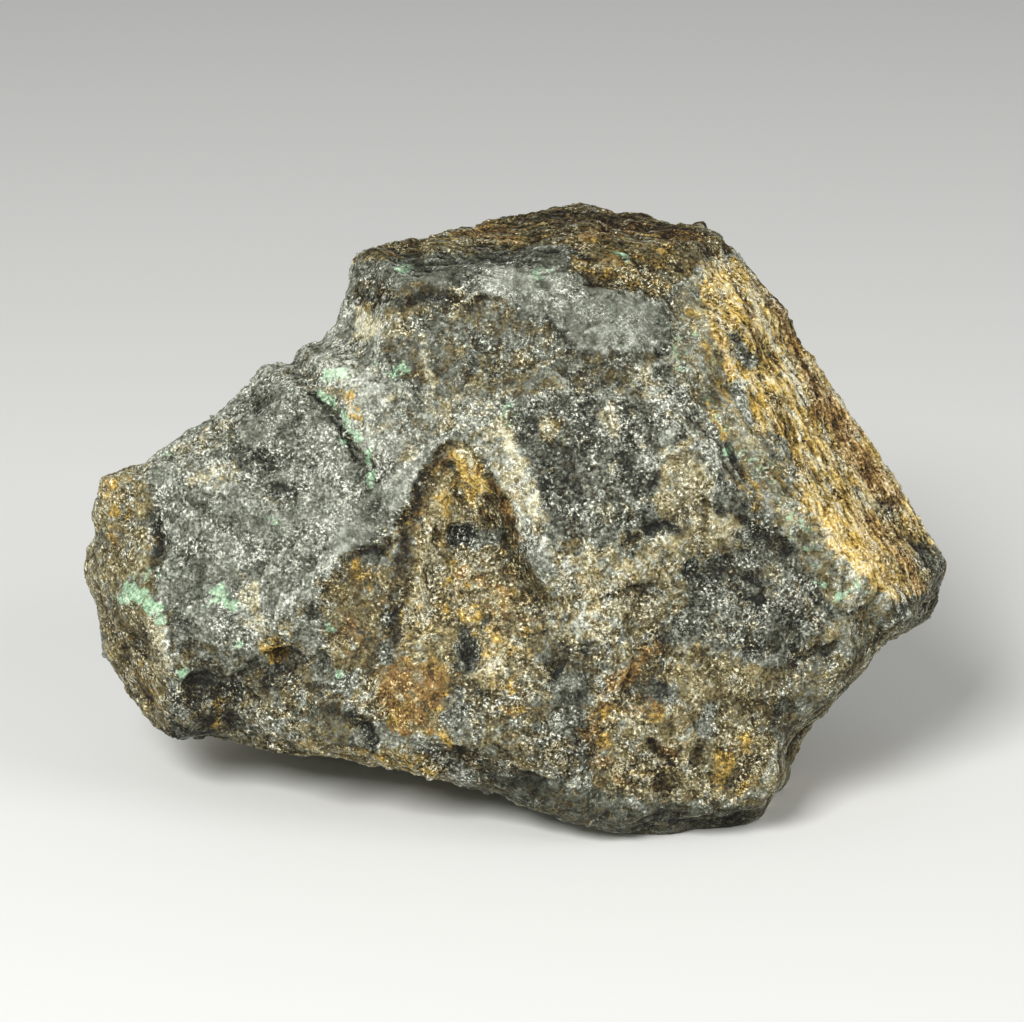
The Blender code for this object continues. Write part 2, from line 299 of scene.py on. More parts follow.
# %% Spots, strokes and areas
class Marks:
    """Soft marks on the side that faces the viewer, placed by column and row of the picture."""

    def __init__(self, points, normals, ragged):
        column, row = seen_at(points)
        self.column = column + ragged * wander(points, 3, 5)
        self.row = row + ragged * wander(points, 8, 13)
        self.fray = ragged * FRAY[1] * rough(points, FRAY[0], 61, 3, 0.75)
        self.faces_viewer = soft_step(0.0, 0.22, normals @ np.array(TO_EYE))

    def spot(self, column, row, half_wide, half_high, turn=0.0):
        """An ellipse with a soft edge. turn is in degrees, clockwise."""
        c, s = math.cos(math.radians(turn)), math.sin(math.radians(turn))
        across, down = self.column - column, self.row - row
        far = np.hypot((across * c + down * s) / half_wide, (down * c - across * s) / half_high)
        far += 1.4 * self.fray / (half_wide + half_high)
        return self.faces_viewer * (1 - soft_step(0.5, 1.25, far))

    def stroke(self, half_wide, *stations):
        """A line through the stations, (column, row), with a soft edge."""
        pairs = zip(stations, stations[1:])
        far = np.min([far_from_line(self.column, self.row, *pair) for pair in pairs], axis=0)
        return self.faces_viewer * (1 - soft_step(0.4, 1.4, (far + 0.35 * self.fray) / half_wide))

    def area(self, corners, edge=3.5):
        """A closed area with straight sides between its corners. edge is how soft its border is."""
        inside = np.zeros(len(self.column), bool)
        far = np.full(len(self.column), np.inf)
        for start, end in zip(corners, corners[1:] + corners[:1]):
            (c0, r0), (c1, r1) = start, end
            if r0 != r1:
                crosses = (r0 > self.row) != (r1 > self.row)
                inside ^= crosses & (self.column < c0 + (self.row - r0) * (c1 - c0) / (r1 - r0))
            far = np.minimum(far, far_from_line(self.column, self.row, start, end))
        return self.faces_viewer * soft_step(-edge, edge, np.where(inside, far, -far) + self.fray)

    def lay(self, marks):
        """All marks of a list together. Each starts with its strength; the strongest one shows."""
        total = np.zeros(len(self.column))
        for strength, *mark in marks:
            made = strength * (self.stroke(*mark) if isinstance(mark[1], tuple) else self.spot(*mark))
            total = np.where(np.abs(made) > np.abs(total), made, total)
        return total


marks = Marks(points, normals, ragged=0.5)
print("points that face the viewer:", int((marks.faces_viewer > 0.5).sum()))

# %% A table of places
KINDS = ("rise", "tone", "grain", "brown", "rust", "gold", "cream", "mint")
ELSEWHERE = (0, -0.02, 0.9, 0.4, 0.06, 0.15, 0.16, 0.05)
# rise in mm and the other seven values, then the corners (column, row)
PLACES = {
    "lower middle": (0, -0.1, 0.85, 0.75, 0.12, 0.14, 0.08, 0.02, (
        (548, 640), (600, 640), (625, 660), (600, 700), (585, 760), (560, 782), (470, 778), (440, 762),
        (447, 690), (480, 680), (530, 680),
    )),
    "lower right": (0, -0.06, 0.8, 0.95, 0.2, 0.2, 0.1, 0, (
        (600, 640), (660, 635), (720, 645), (775, 670), (778, 740), (745, 805), (690, 805), (650, 800),
        (600, 790), (585, 760), (600, 700), (625, 660),
    )),
    "grainy right": (0, -0.11, 0.92, 0.42, 0.1, 0.1, 0.2, 0.04, (
        (708, 470), (740, 470), (800, 530), (850, 580), (840, 612), (775, 670), (720, 645), (660, 635),
        (690, 600), (690, 560), (708, 540),
    )),
    "middle": (0, 0.045, 0.9, 0.82, 0.22, 0.12, 0.12, 0.02, (
        (530, 520), (600, 545), (655, 520), (690, 560), (690, 600), (660, 640), (600, 640), (548, 640),
        (535, 580),
    )),
    "centre": (0, -0.085, 0.95, 0.35, 0.02, 0.08, 0.12, 0.04, (
        (500, 398), (560, 392), (650, 395), (665, 440), (655, 510), (600, 545), (540, 535), (528, 480),
        (512, 430),
    )),
    "tan block": (0.2, 0.0, 0.68, 0.95, 0.05, 0.14, 0.32, 0, (
        (658, 448), (690, 438), (708, 466), (710, 500), (740, 520), (735, 550), (690, 560), (664, 556),
        (655, 510),
    )),
    "plate": (0.35, -0.02, 0.8, 0.02, 0, 0.03, 0.08, 0.06, (
        (300, 370), (268, 360), (245, 385), (205, 418), (150, 440), (148, 470), (163, 505), (165, 560),
        (160, 600), (200, 640), (245, 645), (262, 628), (320, 575), (350, 547), (372, 500), (362, 462),
        (345, 438), (318, 398),
    )),
    "smooth strip": (0.35, 0.0, 0.42, 0.08, 0, 0, 0.1, 0.02, (
        (352, 500), (372, 490), (395, 462), (430, 428), (452, 434), (425, 470), (406, 502), (385, 528),
        (350, 549), (320, 575), (325, 550),
    )),
    "left rim": (0, -0.04, 0.8, 0.85, 0.08, 0.25, 0.22, 0.08, (
        (150, 440), (115, 455), (95, 475), (80, 520), (75, 560), (80, 600), (100, 625), (130, 604),
        (150, 600), (160, 575), (150, 540), (150, 500),
    )),
    # its darker tone is painted shade in the notch
    "notch": (-0.3, -0.12, 0.6, 0.5, 0, 0, 0, 0, (
        (148, 512), (160, 516), (170, 540), (166, 562), (154, 570), (149, 548),
    )),
    "foot": (0, -0.12, 0.85, 1.0, 0.14, 0.25, 0.1, 0.02, (
        (100, 612), (108, 655), (130, 700), (160, 730), (178, 738), (172, 700), (166, 660), (152, 605),
        (130, 604),
    )),
    # its darker tone is painted shade where the face turns under the plate; its brown and rust are its own
    # stain
    "under the plate": (-0.3, -0.12, 0.85, 0.65, 0.12, 0.12, 0.08, 0.04, (
        (166, 622), (185, 640), (240, 652), (262, 662), (300, 658), (312, 700), (300, 748), (230, 744),
        (178, 738), (170, 690),
    )),
    "olive wedge": (0, -0.13, 0.6, 0.75, 0.03, 0.16, 0, 0, (
        (300, 655), (322, 690), (345, 700), (352, 748), (310, 752), (295, 748), (304, 700),
    )),
    "green wedge": (-0.1, -0.06, 0.7, 0.5, 0.05, 0.16, 0.1, 0.1, (
        (322, 580), (325, 640), (335, 668), (305, 660), (268, 658), (270, 635), (290, 608),
    )),
    "brown facet": (-0.2, -0.06, 0.6, 0.95, 0.26, 0.28, 0.05, 0, (
        (350, 550), (372, 547), (400, 522), (394, 577), (378, 640), (372, 672), (335, 668), (325, 640),
        (322, 592), (332, 572),
    )),
    "hollow": (-0.18, 0.0, 0.9, 1.0, 0.24, 0.4, 0.12, 0.02, (
        (450, 436), (462, 440), (484, 468), (506, 510), (520, 545), (545, 590), (548, 640), (530, 680),
        (447, 690), (400, 650), (385, 640), (394, 577), (408, 505), (430, 458),
    )),
    # its darker tone is painted shade on a wall that faces away from the light; its brown, rust and ochre
    # are its own stain
    "left wall": (-0.22, -0.23, 0.8, 0.98, 0.3, 0.3, 0, 0, (
        (450, 437), (430, 458), (410, 490), (401, 520), (392, 577), (380, 635), (398, 645), (408, 600),
        (416, 560), (424, 520), (438, 482),
    )),
    # its darker tone is painted shade on a wall that faces down; its rust is its own stain
    "right wall": (-0.2, -0.2, 0.8, 1.0, 0.5, 0.2, 0, 0, (
        (464, 440), (478, 455), (500, 490), (517, 520), (522, 548), (504, 546), (490, 515), (480, 482),
    )),
    "vein": (0.18, 0.045, 0.7, 0.62, 0.08, 0.16, 0.16, 0.03, (
        (392, 460), (405, 425), (440, 395), (497, 395), (512, 425), (530, 470), (548, 520), (524, 526),
        (503, 487), (480, 445), (455, 425), (430, 440), (405, 470),
    )),
    "block": (0, -0.06, 0.72, 0.66, 0.05, 0.06, 0.08, 0.05, (
        (352, 300), (400, 300), (500, 300), (550, 315), (585, 348), (660, 350), (650, 396), (560, 394),
        (497, 398), (440, 395), (410, 395), (380, 360), (376, 320),
    )),
    "block corner": (0, 0.075, 0.75, 0.3, 0, 0.08, 0.24, 0.1, (
        (352, 262), (340, 320), (300, 368), (318, 396), (345, 430), (392, 460), (405, 425), (410, 395),
        (380, 360), (376, 320), (352, 300),
    )),
    # its darker tone is partly the top's own dark brown and ochre, partly painted shade that holds back the
    # lamp from above
    "top": (0, -0.205, 0.8, 1.0, 0.3, 0.44, 0.03, 0.02, (
        (345, 262), (380, 244), (470, 222), (560, 200), (610, 198), (700, 215), (735, 250), (705, 262),
        (660, 300), (600, 290), (560, 285), (555, 262), (480, 262), (400, 272),
    )),
    "dark band": (-0.2, -0.16, 0.6, 0.18, 0, 0, 0.02, 0.1, (
        (352, 264), (400, 257), (560, 248), (572, 266), (555, 276), (480, 270), (478, 290), (400, 283),
        (354, 280),
    )),
    # its darker tone is painted shadow under the overhanging band; its brown and ochre are its own stain
    "dark band under it": (-0.3, -0.19, 0.7, 0.75, 0.05, 0.15, 0.02, 0, (
        (352, 282), (400, 285), (480, 291), (500, 300), (400, 306), (354, 302),
    )),
    "pale bevel": (0.25, -0.02, 0.48, 0.08, 0, 0, 0.08, 0.06, (
        (478, 268), (545, 267), (600, 286), (665, 300), (672, 345), (612, 352), (578, 346), (548, 318),
        (500, 300), (482, 291),
    )),
    "green bevel": (0, -0.01, 0.56, 0.78, 0, 0.12, 0.1, 0.26, (
        (668, 300), (700, 268), (720, 340), (740, 400), (760, 435), (800, 500), (830, 550), (890, 602),
        (840, 612), (800, 560), (740, 470), (720, 440), (700, 400), (680, 345),
    )),
    "rusty side": (0.15, 0.085, 1.15, 1.0, 0.4, 0.74, 0.06, 0, (
        (700, 262), (735, 255), (800, 310), (840, 385), (880, 425), (955, 555), (938, 585), (895, 602),
        (860, 577), (830, 548), (805, 502), (788, 430), (752, 432), (738, 402), (715, 332), (702, 290),
    )),
    "nose": (0, -0.2, 0.7, 0.7, 0.1, 0.1, 0, 0, (
        (905, 532), (950, 555), (948, 605), (905, 640), (884, 612), (900, 603), (932, 592), (925, 562),
    )),
    # its slightly darker tone is painted shade on a facet that faces down and to the right
    "side facet": (0, -0.09, 0.65, 0.75, 0.1, 0.1, 0.06, 0, (
        (775, 670), (840, 612), (886, 603), (905, 640), (880, 668), (850, 700), (825, 735), (790, 800),
        (745, 825), (740, 805), (778, 740),
    )),
    # its darker tone is painted shade on the strip that faces down
    "bottom": (0, -0.23, 0.48, 0.55, 0.22, 0.1, 0.03, 0, (
        (470, 778), (560, 782), (650, 800), (740, 805), (745, 835), (680, 845), (600, 838), (520, 812),
        (470, 792),
    )),
    "orange patch": (0.1, -0.09, 0.6, 1.0, 0.72, 0.55, 0.02, 0, (
        (378, 664), (400, 656), (447, 662), (450, 690), (441, 725), (420, 736), (388, 731), (376, 700),
    )),
    "brown hem": (0, -0.07, 0.85, 0.98, 0.2, 0.28, 0.08, 0, (
        (225, 740), (350, 744), (440, 758), (447, 784), (400, 776), (310, 764), (225, 756),
    )),
}


def places_of(marks):
    """The values of the table for every point, laid over each other in the table's order."""
    values = {kind: np.full(len(marks.column), float(start)) for kind, start in zip(KINDS, ELSEWHERE)}
    for *own, corners in PLACES.values():
        cover = marks.area(corners)
        for kind, value in zip(KINDS, own):
            values[kind] += cover * (value - values[kind])
    return values


places = places_of(marks)
print(len(PLACES), "places")

# %% [markdown]
# ## Relief that is finer than the facets
# Hammer blows left chips, weather opened pits and the edges of the thin layers. The layers
# stand steeply and face the viewer, so they show as fine ledges on the top, the rusty side and
# the left foot, and hardly at all on the front. Everything fades out towards the flat underside.

# %% Cracks and notches
# depth in mm, then a spot (column, row, half sizes, turn) or a stroke (half width, stations)
CRACKS = [
    (0.25, 156, 540, 7, 20, 15),
    (0.9, 365, 731, 8, 8),
    (0.35, 2.5, (313, 393), (335, 425), (358, 457)),
    (0.8, 655, 527, 20, 8, -5),
    (0.6, 633, 538, 9, 7),
    (0.7, 693, 567, 9, 13),
    (0.3, 4, (347, 541), (366, 548), (386, 553)),
    (0.5, 3, (726, 442), (735, 458), (744, 474)),
    (0.6, 200, 672, 28, 12, -30),
    (0.7, 243, 692, 22, 10, 10),
    (0.35, 6, (484, 466), (500, 505), (518, 532)),
    (0.6, 330, 690, 26, 8, 5),
    (0.5, 3, (560, 620), (600, 600), (640, 585)),
    (0.5, 4, (700, 500), (740, 520), (790, 545)),
    (0.5, 752, 600, 16, 8, 20),
    (0.5, 620, 742, 22, 7, 35),
    (0.5, 660, 748, 15, 6, 40),
    (0.6, 470, 655, 12, 16, 0),
    (0.5, 458, 536, 14, 11, 10),
    (0.4, 3, (290, 368), (300, 385), (316, 393)),
]
print(len(CRACKS), "cracks and notches")

# %% Smooth places
# how smooth a place is, then a spot or a stroke
SMOOTH = [
    (0.75, 290, 520, 120, 75, -30),
    (0.5, 285, 410, 50, 40, -30),
    (0.8, 30, (365, 500), (400, 465), (430, 440)),
    (0.45, 470, 345, 100, 50, 5),
    (0.75, 15, (490, 285), (560, 290), (630, 340)),
    (0.5, 730, 400, 34, 80, -25),
    (0.6, 355, 600, 40, 50, 20),
    (0.5, 845, 640, 60, 34, -35),
    (0.4, 130, 560, 30, 40),
    (0.4, 412, 698, 40, 40),
]
print(len(SMOOTH), "smooth places")

# %% Chips
# size, height and depth of the groove round a chip, all in mm
BIG_CHIP, BIG_TILT, BIG_GROOVE = 6.5, 0.40, 0.22
SMALL_CHIP, SMALL_TILT, SMALL_GROOVE = 2.4, 0.22, 0.10
TINY_CHIP, TINY_TILT = 1.1, 0.08
big, big_gap, _ = chips(points + 1.5 * rough(points, 6.0, 2)[:, None], BIG_CHIP, 21)
small, small_gap, _ = chips(points + 0.6 * rough(points, 2.5, 4)[:, None], SMALL_CHIP, 33)
tiny, _, _ = chips(points, TINY_CHIP, 45)
calm = 1 - 0.75 * np.clip(marks.lay(SMOOTH), 0, 1)
relief = BIG_TILT * big + calm * (SMALL_TILT * small + TINY_TILT * tiny)
relief -= BIG_GROOVE * (1 - soft_step(0.0, 0.10, big_gap)) * soft_step(-0.1, 0.5, swell(points, 9.0, 6))
relief -= SMALL_GROOVE * calm * (1 - soft_step(0.0, 0.14, small_gap))
print("chips, mm: from", round(relief.min(), 2), "to", round(relief.max(), 2))

# %% Ledges of the layers
LAYER_FACE = np.array(TO_RIGHT * -0.36 + TO_TOP * -0.08 + TO_EYE * 0.93)
LAYER_FACE /= np.linalg.norm(LAYER_FACE)
LAYER_ALONG = np.cross(LAYER_FACE, (0.0, 0.0, 1.0))
LAYER_ALONG /= np.linalg.norm(LAYER_ALONG)
LAYER_UP = np.cross(LAYER_FACE, LAYER_ALONG)
# thickness of a layer and height of its ledge, in mm
THICK_LAYER, THICK_LEDGE = 1.7, 0.42
THIN_LAYER, THIN_LEDGE = 0.75, 0.18


def ledge(across, thickness, top, edge):
    """Each layer rises slowly from 0 to 1, is level, and drops at its edge."""
    saw = (across / thickness) % 1.0
    return soft_step(0.0, top, saw) * (1 - soft_step(edge, 1.0, saw))


across_layers = points @ LAYER_FACE + 0.8 * rough(points, 7.0, 9)
thick = ledge(across_layers, THICK_LAYER, 0.8, 0.85)
thin = ledge(across_layers, THIN_LAYER, 0.7, 0.8)
cuts_layers = 1 - np.abs(normals @ LAYER_FACE)
layered = soft_step(0.15, 0.75, cuts_layers) * (0.55 + 0.45 * swell(points, 8.0, 14))
relief += layered * (THICK_LEDGE * (thick - 0.5) + THIN_LEDGE * (thin - 0.5))
print("layers face", np.round(LAYER_FACE, 2))

# %% Pits, cracks and steps
PIT, PIT_DEPTH = 3.6, 0.45
GRAIN_RISE = 0.15
# up to the first height in mm there is no relief, and from the second one all of it
BASE_FADE = (0.4, 2.2)
_, pit_gap, pit_number = chips(points, PIT, 57)
pitted = soft_step(-0.15, 0.5, rough(points, 14.0, 19, 2)) * (pit_number % 3 == 0)
relief -= PIT_DEPTH * pitted * soft_step(0.15, 0.5, pit_gap)
relief += GRAIN_RISE * calm * rough(points, 1.9, 23, 3, 0.6)
relief -= marks.lay(CRACKS) * (0.75 + 0.5 * swell(points, 1.5, 29))
relief += places["rise"] * marks.faces_viewer
on_base = 1 - soft_step(*BASE_FADE, points[:, 2])
relief *= 1 - on_base
write_points(stone.data, points + normals * relief[:, None])
print("relief, mm: from", round(relief.min(), 2), "to", round(relief.max(), 2))


# %% How far each place stands out
def store(piece, name, values):
    """Keeps one number for each point of the mesh."""
    found = piece.data.attributes.get(name) or piece.data.attributes.new(name, "FLOAT", "POINT")
    found.data.foreach_set("value", np.asarray(values, np.float32))


def recall(piece, name):
    """Reads those numbers again."""
    values = np.empty(len(piece.data.vertices), np.float32)
    piece.data.attributes[name].data.foreach_get("value", values)
    return values.astype(float)


def stands_out(piece, rounds):
    """Height of each point over a smoothed copy, mm: above 0 on edges, below 0 in hollows."""
    calmer = piece.modifiers.new("calmer", "SMOOTH")
    calmer.factor = 1.0
    calmer.iterations = rounds
    smoothed = piece.evaluated_get(bpy.context.evaluated_depsgraph_get())
    flat, _ = read_points(smoothed.to_mesh())
    smoothed.to_mesh_clear()
    piece.modifiers.clear()
    here, facing = read_points(piece.data)
    return np.einsum("ij,ij->i", here - flat, facing)


# rounds of smoothing, for edges a few millimetres wide and for fine ones
WIDE_ROUNDS, FINE_ROUNDS = 150, 12
# these heights are used later for painted shade in hollows and painted highlight on edges
store(stone, "edge wide", stands_out(stone, WIDE_ROUNDS))
store(stone, "edge fine", stands_out(stone, FINE_ROUNDS))

# %% Thin out flat places and keep inside the CAD box
LARGEST_PIECE = 196000
# what is lower than this, in mm, is set level with the floor
LEVEL_BELOW = 0.12
triangles = len(stone.data.polygons) * 2
thin_out = stone.modifiers.new("thin out", "DECIMATE")
thin_out.ratio = min(1.0, LARGEST_PIECE / triangles)
thin_out.use_collapse_triangulate = True
settle(stone)
points, normals = read_points(stone.data)
points = np.clip(points, np.array(cad_low) / MM, np.array(cad_high) / MM)
points[points[:, 2] < LEVEL_BELOW, 2] = 0.0
write_points(stone.data, points)
stone.data.shade_smooth()
points, normals = read_points(stone.data)
print("triangles:", len(stone.data.polygons))

# %% [markdown]
# ## Where the crusts and stains are
# Each place of the table has its own brightness and its own amount of every stain. Single
# stains, crusts and dark grains are then placed as spots and strokes where the picture
# shows them. All of it is kept as one number per point of the mesh, from 0, none, to 1, all
# covered, and the material turns each number into a crust with a broken, grainy edge. A picture
# laid on the stone would be quicker, but it could not be seen from other sides.
# Where no picture looks, noise spreads the same stains, mostly brown and a little ochre.

# %% How bright the grain is, with painted shade and painted highlights
# change of brightness, then a spot (column, row, half sizes, turn) or a stroke (half width, stations)
TONE = [
    # the plate on the left
    (0.03, 300, 520, 100, 50, -25),
    (-0.05, 285, 415, 46, 34, -30),
    (-0.17, 12, (236, 450), (262, 464), (284, 490)),
    (0.09, 215, 470, 28, 14, -20),
    (0.08, 170, 452, 26, 9, -20),
    (-0.16, 190, 499, 10, 8),
    (0.14, 186, 507, 6, 5),
    (-0.07, 215, 530, 26, 7, -30),
    (-0.06, 190, 560, 22, 14),
    (0.06, 250, 498, 30, 8, 20),
    (-0.06, 6, (160, 505), (178, 500), (205, 480)),
    # painted shade in the groove's crack
    (-0.2, 3.5, (313, 393), (333, 424), (352, 450), (360, 462)),
    # painted highlight along the plate's lit lower edge
    (0.1, 4, (262, 630), (320, 577), (352, 546)),
    (0.12, 252, 602, 16, 26, 10),
    (0.06, 225, 600, 34, 14),
    (-0.1, 180, 622, 22, 10, 20),
    # scratches that run along the smooth strip
    (0.12, 2, (366, 505), (396, 474), (424, 444)),
    (-0.1, 2, (372, 512), (404, 476), (432, 446)),
    (0.12, 2, (380, 516), (410, 480), (434, 458)),
    (-0.1, 2, (360, 498), (386, 470), (410, 446)),
    (0.1, 2, (340, 550), (366, 528), (392, 506)),
    (-0.08, 2, (352, 534), (374, 516), (398, 494)),
    # under the plate and the left foot
    # the next two: painted shadow lines under the plate's edge
    (-0.13, 4, (266, 652), (298, 632), (326, 594), (348, 560)),
    (-0.18, 4.5, (346, 556), (370, 550), (388, 548)),
    # the next four: painted shade where the face turns under, in the crease below the plate and along the
    # foot's lower edge
    (-0.16, 205, 700, 36, 26, 5),
    (-0.12, 262, 680, 40, 10, 10),
    (-0.24, 195, 735, 45, 9, 6),
    (-0.18, 250, 748, 60, 8, 5),
    (0.1, 216, 710, 7, 20, 10),
    (0.08, 268, 735, 26, 6, 5),
    (-0.12, 327, 712, 18, 12),
    # painted shade in a deep hollow
    (-0.38, 9, (352, 718), (362, 728), (374, 740)),
    (0.09, 157, 650, 9, 46, 5),
    (-0.1, 5, (118, 615), (130, 655), (150, 700)),
    (-0.06, 352, 635, 16, 20, 10),
    # the block at the top
    # painted shadow under the ledge of the block's top
    (-0.12, 5, (352, 300), (380, 303), (440, 300), (480, 306)),
    (-0.12, 7, (500, 212), (560, 214), (620, 220), (700, 236)),
    (0.06, 4, (400, 252), (470, 240), (560, 246), (640, 250)),
    (0.08, 5, (575, 262), (620, 266), (664, 280)),
    (-0.14, 5, (548, 320), (572, 347), (600, 356), (660, 354)),
    (0.06, 9, (490, 283), (545, 283), (590, 312), (640, 340)),
    (-0.1, 8, (384, 352), (398, 368), (418, 388)),
    (-0.07, 480, 372, 70, 16, 4),
    (0.15, 367, 325, 14, 18),
    (0.1, 5, (421, 338), (427, 365), (432, 394)),
    (-0.12, 5, (420, 340), (412, 362), (418, 384)),
    (-0.12, 665, 320, 10, 22, 10),
    (-0.08, 600, 372, 34, 16),
    # the middle
    (-0.08, 560, 480, 26, 60),
    (0.13, 552, 425, 11, 13),
    (-0.1, 585, 430, 12, 40),
    (0.14, 611, 422, 13, 22),
    (0.08, 4, (634, 405), (640, 430), (644, 450)),
    (-0.12, 628, 440, 6, 44),
    (-0.12, 652, 425, 8, 26),
    # the next two: painted shade in a pit
    (-0.24, 7, (628, 540), (645, 530), (662, 524), (680, 530)),
    (-0.18, 640, 545, 14, 7, -20),
    (0.1, 655, 543, 10, 5),
    (0.05, 645, 440, 36, 60),
    (-0.2, 640, 480, 22, 14),
    # painted shade in a pit
    (-0.32, 692, 566, 9, 13),
    (-0.18, 640, 590, 34, 10, -10),
    (-0.16, 5, (700, 500), (706, 530), (700, 560)),
    # painted shade along a crack
    (-0.16, 7, (735, 505), (755, 530), (790, 550)),
    (-0.14, 735, 575, 44, 10, 15),
    (-0.12, 775, 612, 30, 12, 15),
    (0.09, 586, 608, 15, 10),
    # the hollow
    # painted shade in a pit
    (-0.2, 460, 536, 18, 12),
    (0.16, 468, 488, 18, 24),
    (0.12, 440, 500, 16, 22),
    (0.16, 462, 457, 15, 15),
    (0.08, 452, 455, 9, 14),
    (0.08, 434, 580, 12, 50, 8),
    (0.05, 472, 612, 12, 9),
    # painted shade in a pit
    (-0.18, 462, 655, 13, 24),
    # painted shade along the crease at the hollow's left border
    (-0.06, 6, (440, 455), (418, 480), (408, 518), (397, 577), (386, 632)),
    (0.15, 512, 452, 10, 24, -20),
    (-0.05, 8, (405, 462), (432, 432), (460, 412), (490, 402)),
    (0.1, 530, 490, 12, 20, -25),
    (-0.05, 9, (405, 460), (430, 428), (456, 412)),
    (0.08, 490, 666, 30, 12),
    (-0.12, 530, 570, 16, 30, -10),
    (0.1, 508, 690, 11, 11),
    (0.1, 512, 500, 10, 20, -20),
    # the lower right
    (-0.1, 540, 755, 50, 14, 5),
    (-0.1, 450, 755, 46, 12, 8),
    (-0.16, 505, 775, 40, 8, 10),
    (0.05, 560, 785, 24, 12),
    (0.06, 625, 805, 30, 12),
    (-0.16, 755, 815, 36, 14, -20),
    (0.08, 7, (655, 650), (638, 664), (622, 676)),
    # painted shade in a hollow
    (-0.2, 660, 748, 24, 9, 25),
    (-0.12, 668, 782, 22, 12, 20),
    (0.1, 4, (607, 720), (622, 714), (643, 726)),
    (0.09, 698, 688, 14, 18),
    (0.06, 735, 645, 40, 18, 10),
    (-0.12, 760, 640, 18, 12),
    (-0.14, 783, 715, 12, 26, 10),
    (0.06, 850, 632, 26, 18, -30),
    (-0.1, 7, (905, 605), (880, 630), (850, 668), (820, 712)),
    (-0.1, 660, 692, 18, 12),
    (-0.1, 668, 638, 10, 9),
    (-0.1, 752, 650, 10, 11),
    (-0.08, 706, 722, 12, 18),
    (-0.14, 660, 772, 30, 9, 35),
    (-0.1, 560, 660, 16, 20),
    # the green-grey bevel and the rusty side
    (0.07, 695, 315, 16, 34, -10),
    (-0.07, 715, 375, 14, 26, -20),
    (0.06, 745, 425, 14, 28, -20),
    # painted shade in a crack
    (-0.32, 2.5, (726, 442), (735, 460), (745, 476)),
    (0.05, 690, 280, 18, 12),
    (-0.24, 742, 333, 9, 16, -20),
    (-0.26, 7, (776, 300), (793, 337), (813, 385), (820, 412)),
    (0.12, 4, (765, 327), (788, 378), (804, 408)),
    (0.19, 6, (791, 412), (808, 452), (831, 486)),
    (0.15, 12, (815, 506), (838, 546), (858, 570)),
    (-0.18, 3.5, (800, 428), (822, 470), (850, 505)),
    (-0.2, 7, (734, 331), (747, 361)),
    (-0.18, 8, (754, 338), (771, 361)),
    (0.18, 5, (720, 273), (734, 300)),
    (0.12, 4, (748, 292), (760, 318), (768, 334)),
    (-0.16, 4, (742, 296), (752, 318)),
    (-0.1, 8, (868, 519), (899, 553), (922, 587)),
    (-0.14, 760, 278, 24, 9, 50),
    (-0.14, 7, (768, 395), (782, 415), (795, 440), (800, 470)),
    (0.1, 7, (805, 378), (842, 438), (868, 468), (890, 495)),
    (0.12, 728, 366, 7, 11),
    (0.09, 769, 385, 8, 11),
    (0.1, 494, 234, 36, 9, 5),
    (0.08, 860, 545, 40, 16, 48),
    (-0.22, 888, 508, 11, 15, -35),
    (-0.12, 5, (905, 525), (922, 552), (934, 575)),
    (-0.12, 912, 575, 14, 22, -30),
    (0.16, 4, (750, 298), (757, 312), (762, 325)),
    (0.2, 3.5, (830, 388), (852, 415), (880, 440), (907, 492), (943, 556)),
    (-0.14, 8, (828, 408), (858, 455), (888, 500)),
    (0.13, 845, 520, 34, 20, 48),
    (0.08, 10, (790, 432), (815, 480), (850, 535), (880, 575)),
]
print(len(TONE), "marks of brightness")

# %% Brown and olive stain
# how much of it, then a spot or a stroke
BROWN = [
    (0.6, 205, 445, 50, 14, -30),
    (0.5, 225, 480, 26, 14),
    (0.85, 216, 709, 9, 22),
    (0.9, 270, 738, 40, 8, 5),
    (0.95, 277, 649, 20, 14),
    (0.8, 285, 630, 16, 14, -30),
    (0.6, 250, 600, 14, 30, 10),
    (0.9, 430, 600, 40, 50),
    (0.95, 500, 232, 50, 12, -6),
    (0.8, 480, 322, 60, 20, 8),
    (0.7, 367, 322, 18, 24),
    (0.7, 625, 590, 50, 44),
    (0.6, 610, 415, 22, 22),
    (0.7, 552, 425, 14, 16),
    (0.55, 600, 372, 40, 14),
    (0.85, 640, 700, 60, 60, -20),
    (0.85, 700, 770, 70, 36),
    (0.95, 738, 765, 26, 40),
    (0.85, 770, 790, 34, 40, -20),
    (0.8, 783, 715, 20, 34),
    (0.6, 712, 360, 26, 50, -15),
    (0.8, 515, 700, 44, 34),
    (0.85, 368, 698, 24, 40),
    (0.85, 420, 648, 40, 22),
    (0.85, 462, 735, 34, 20),
]
print(len(BROWN), "marks of brown")

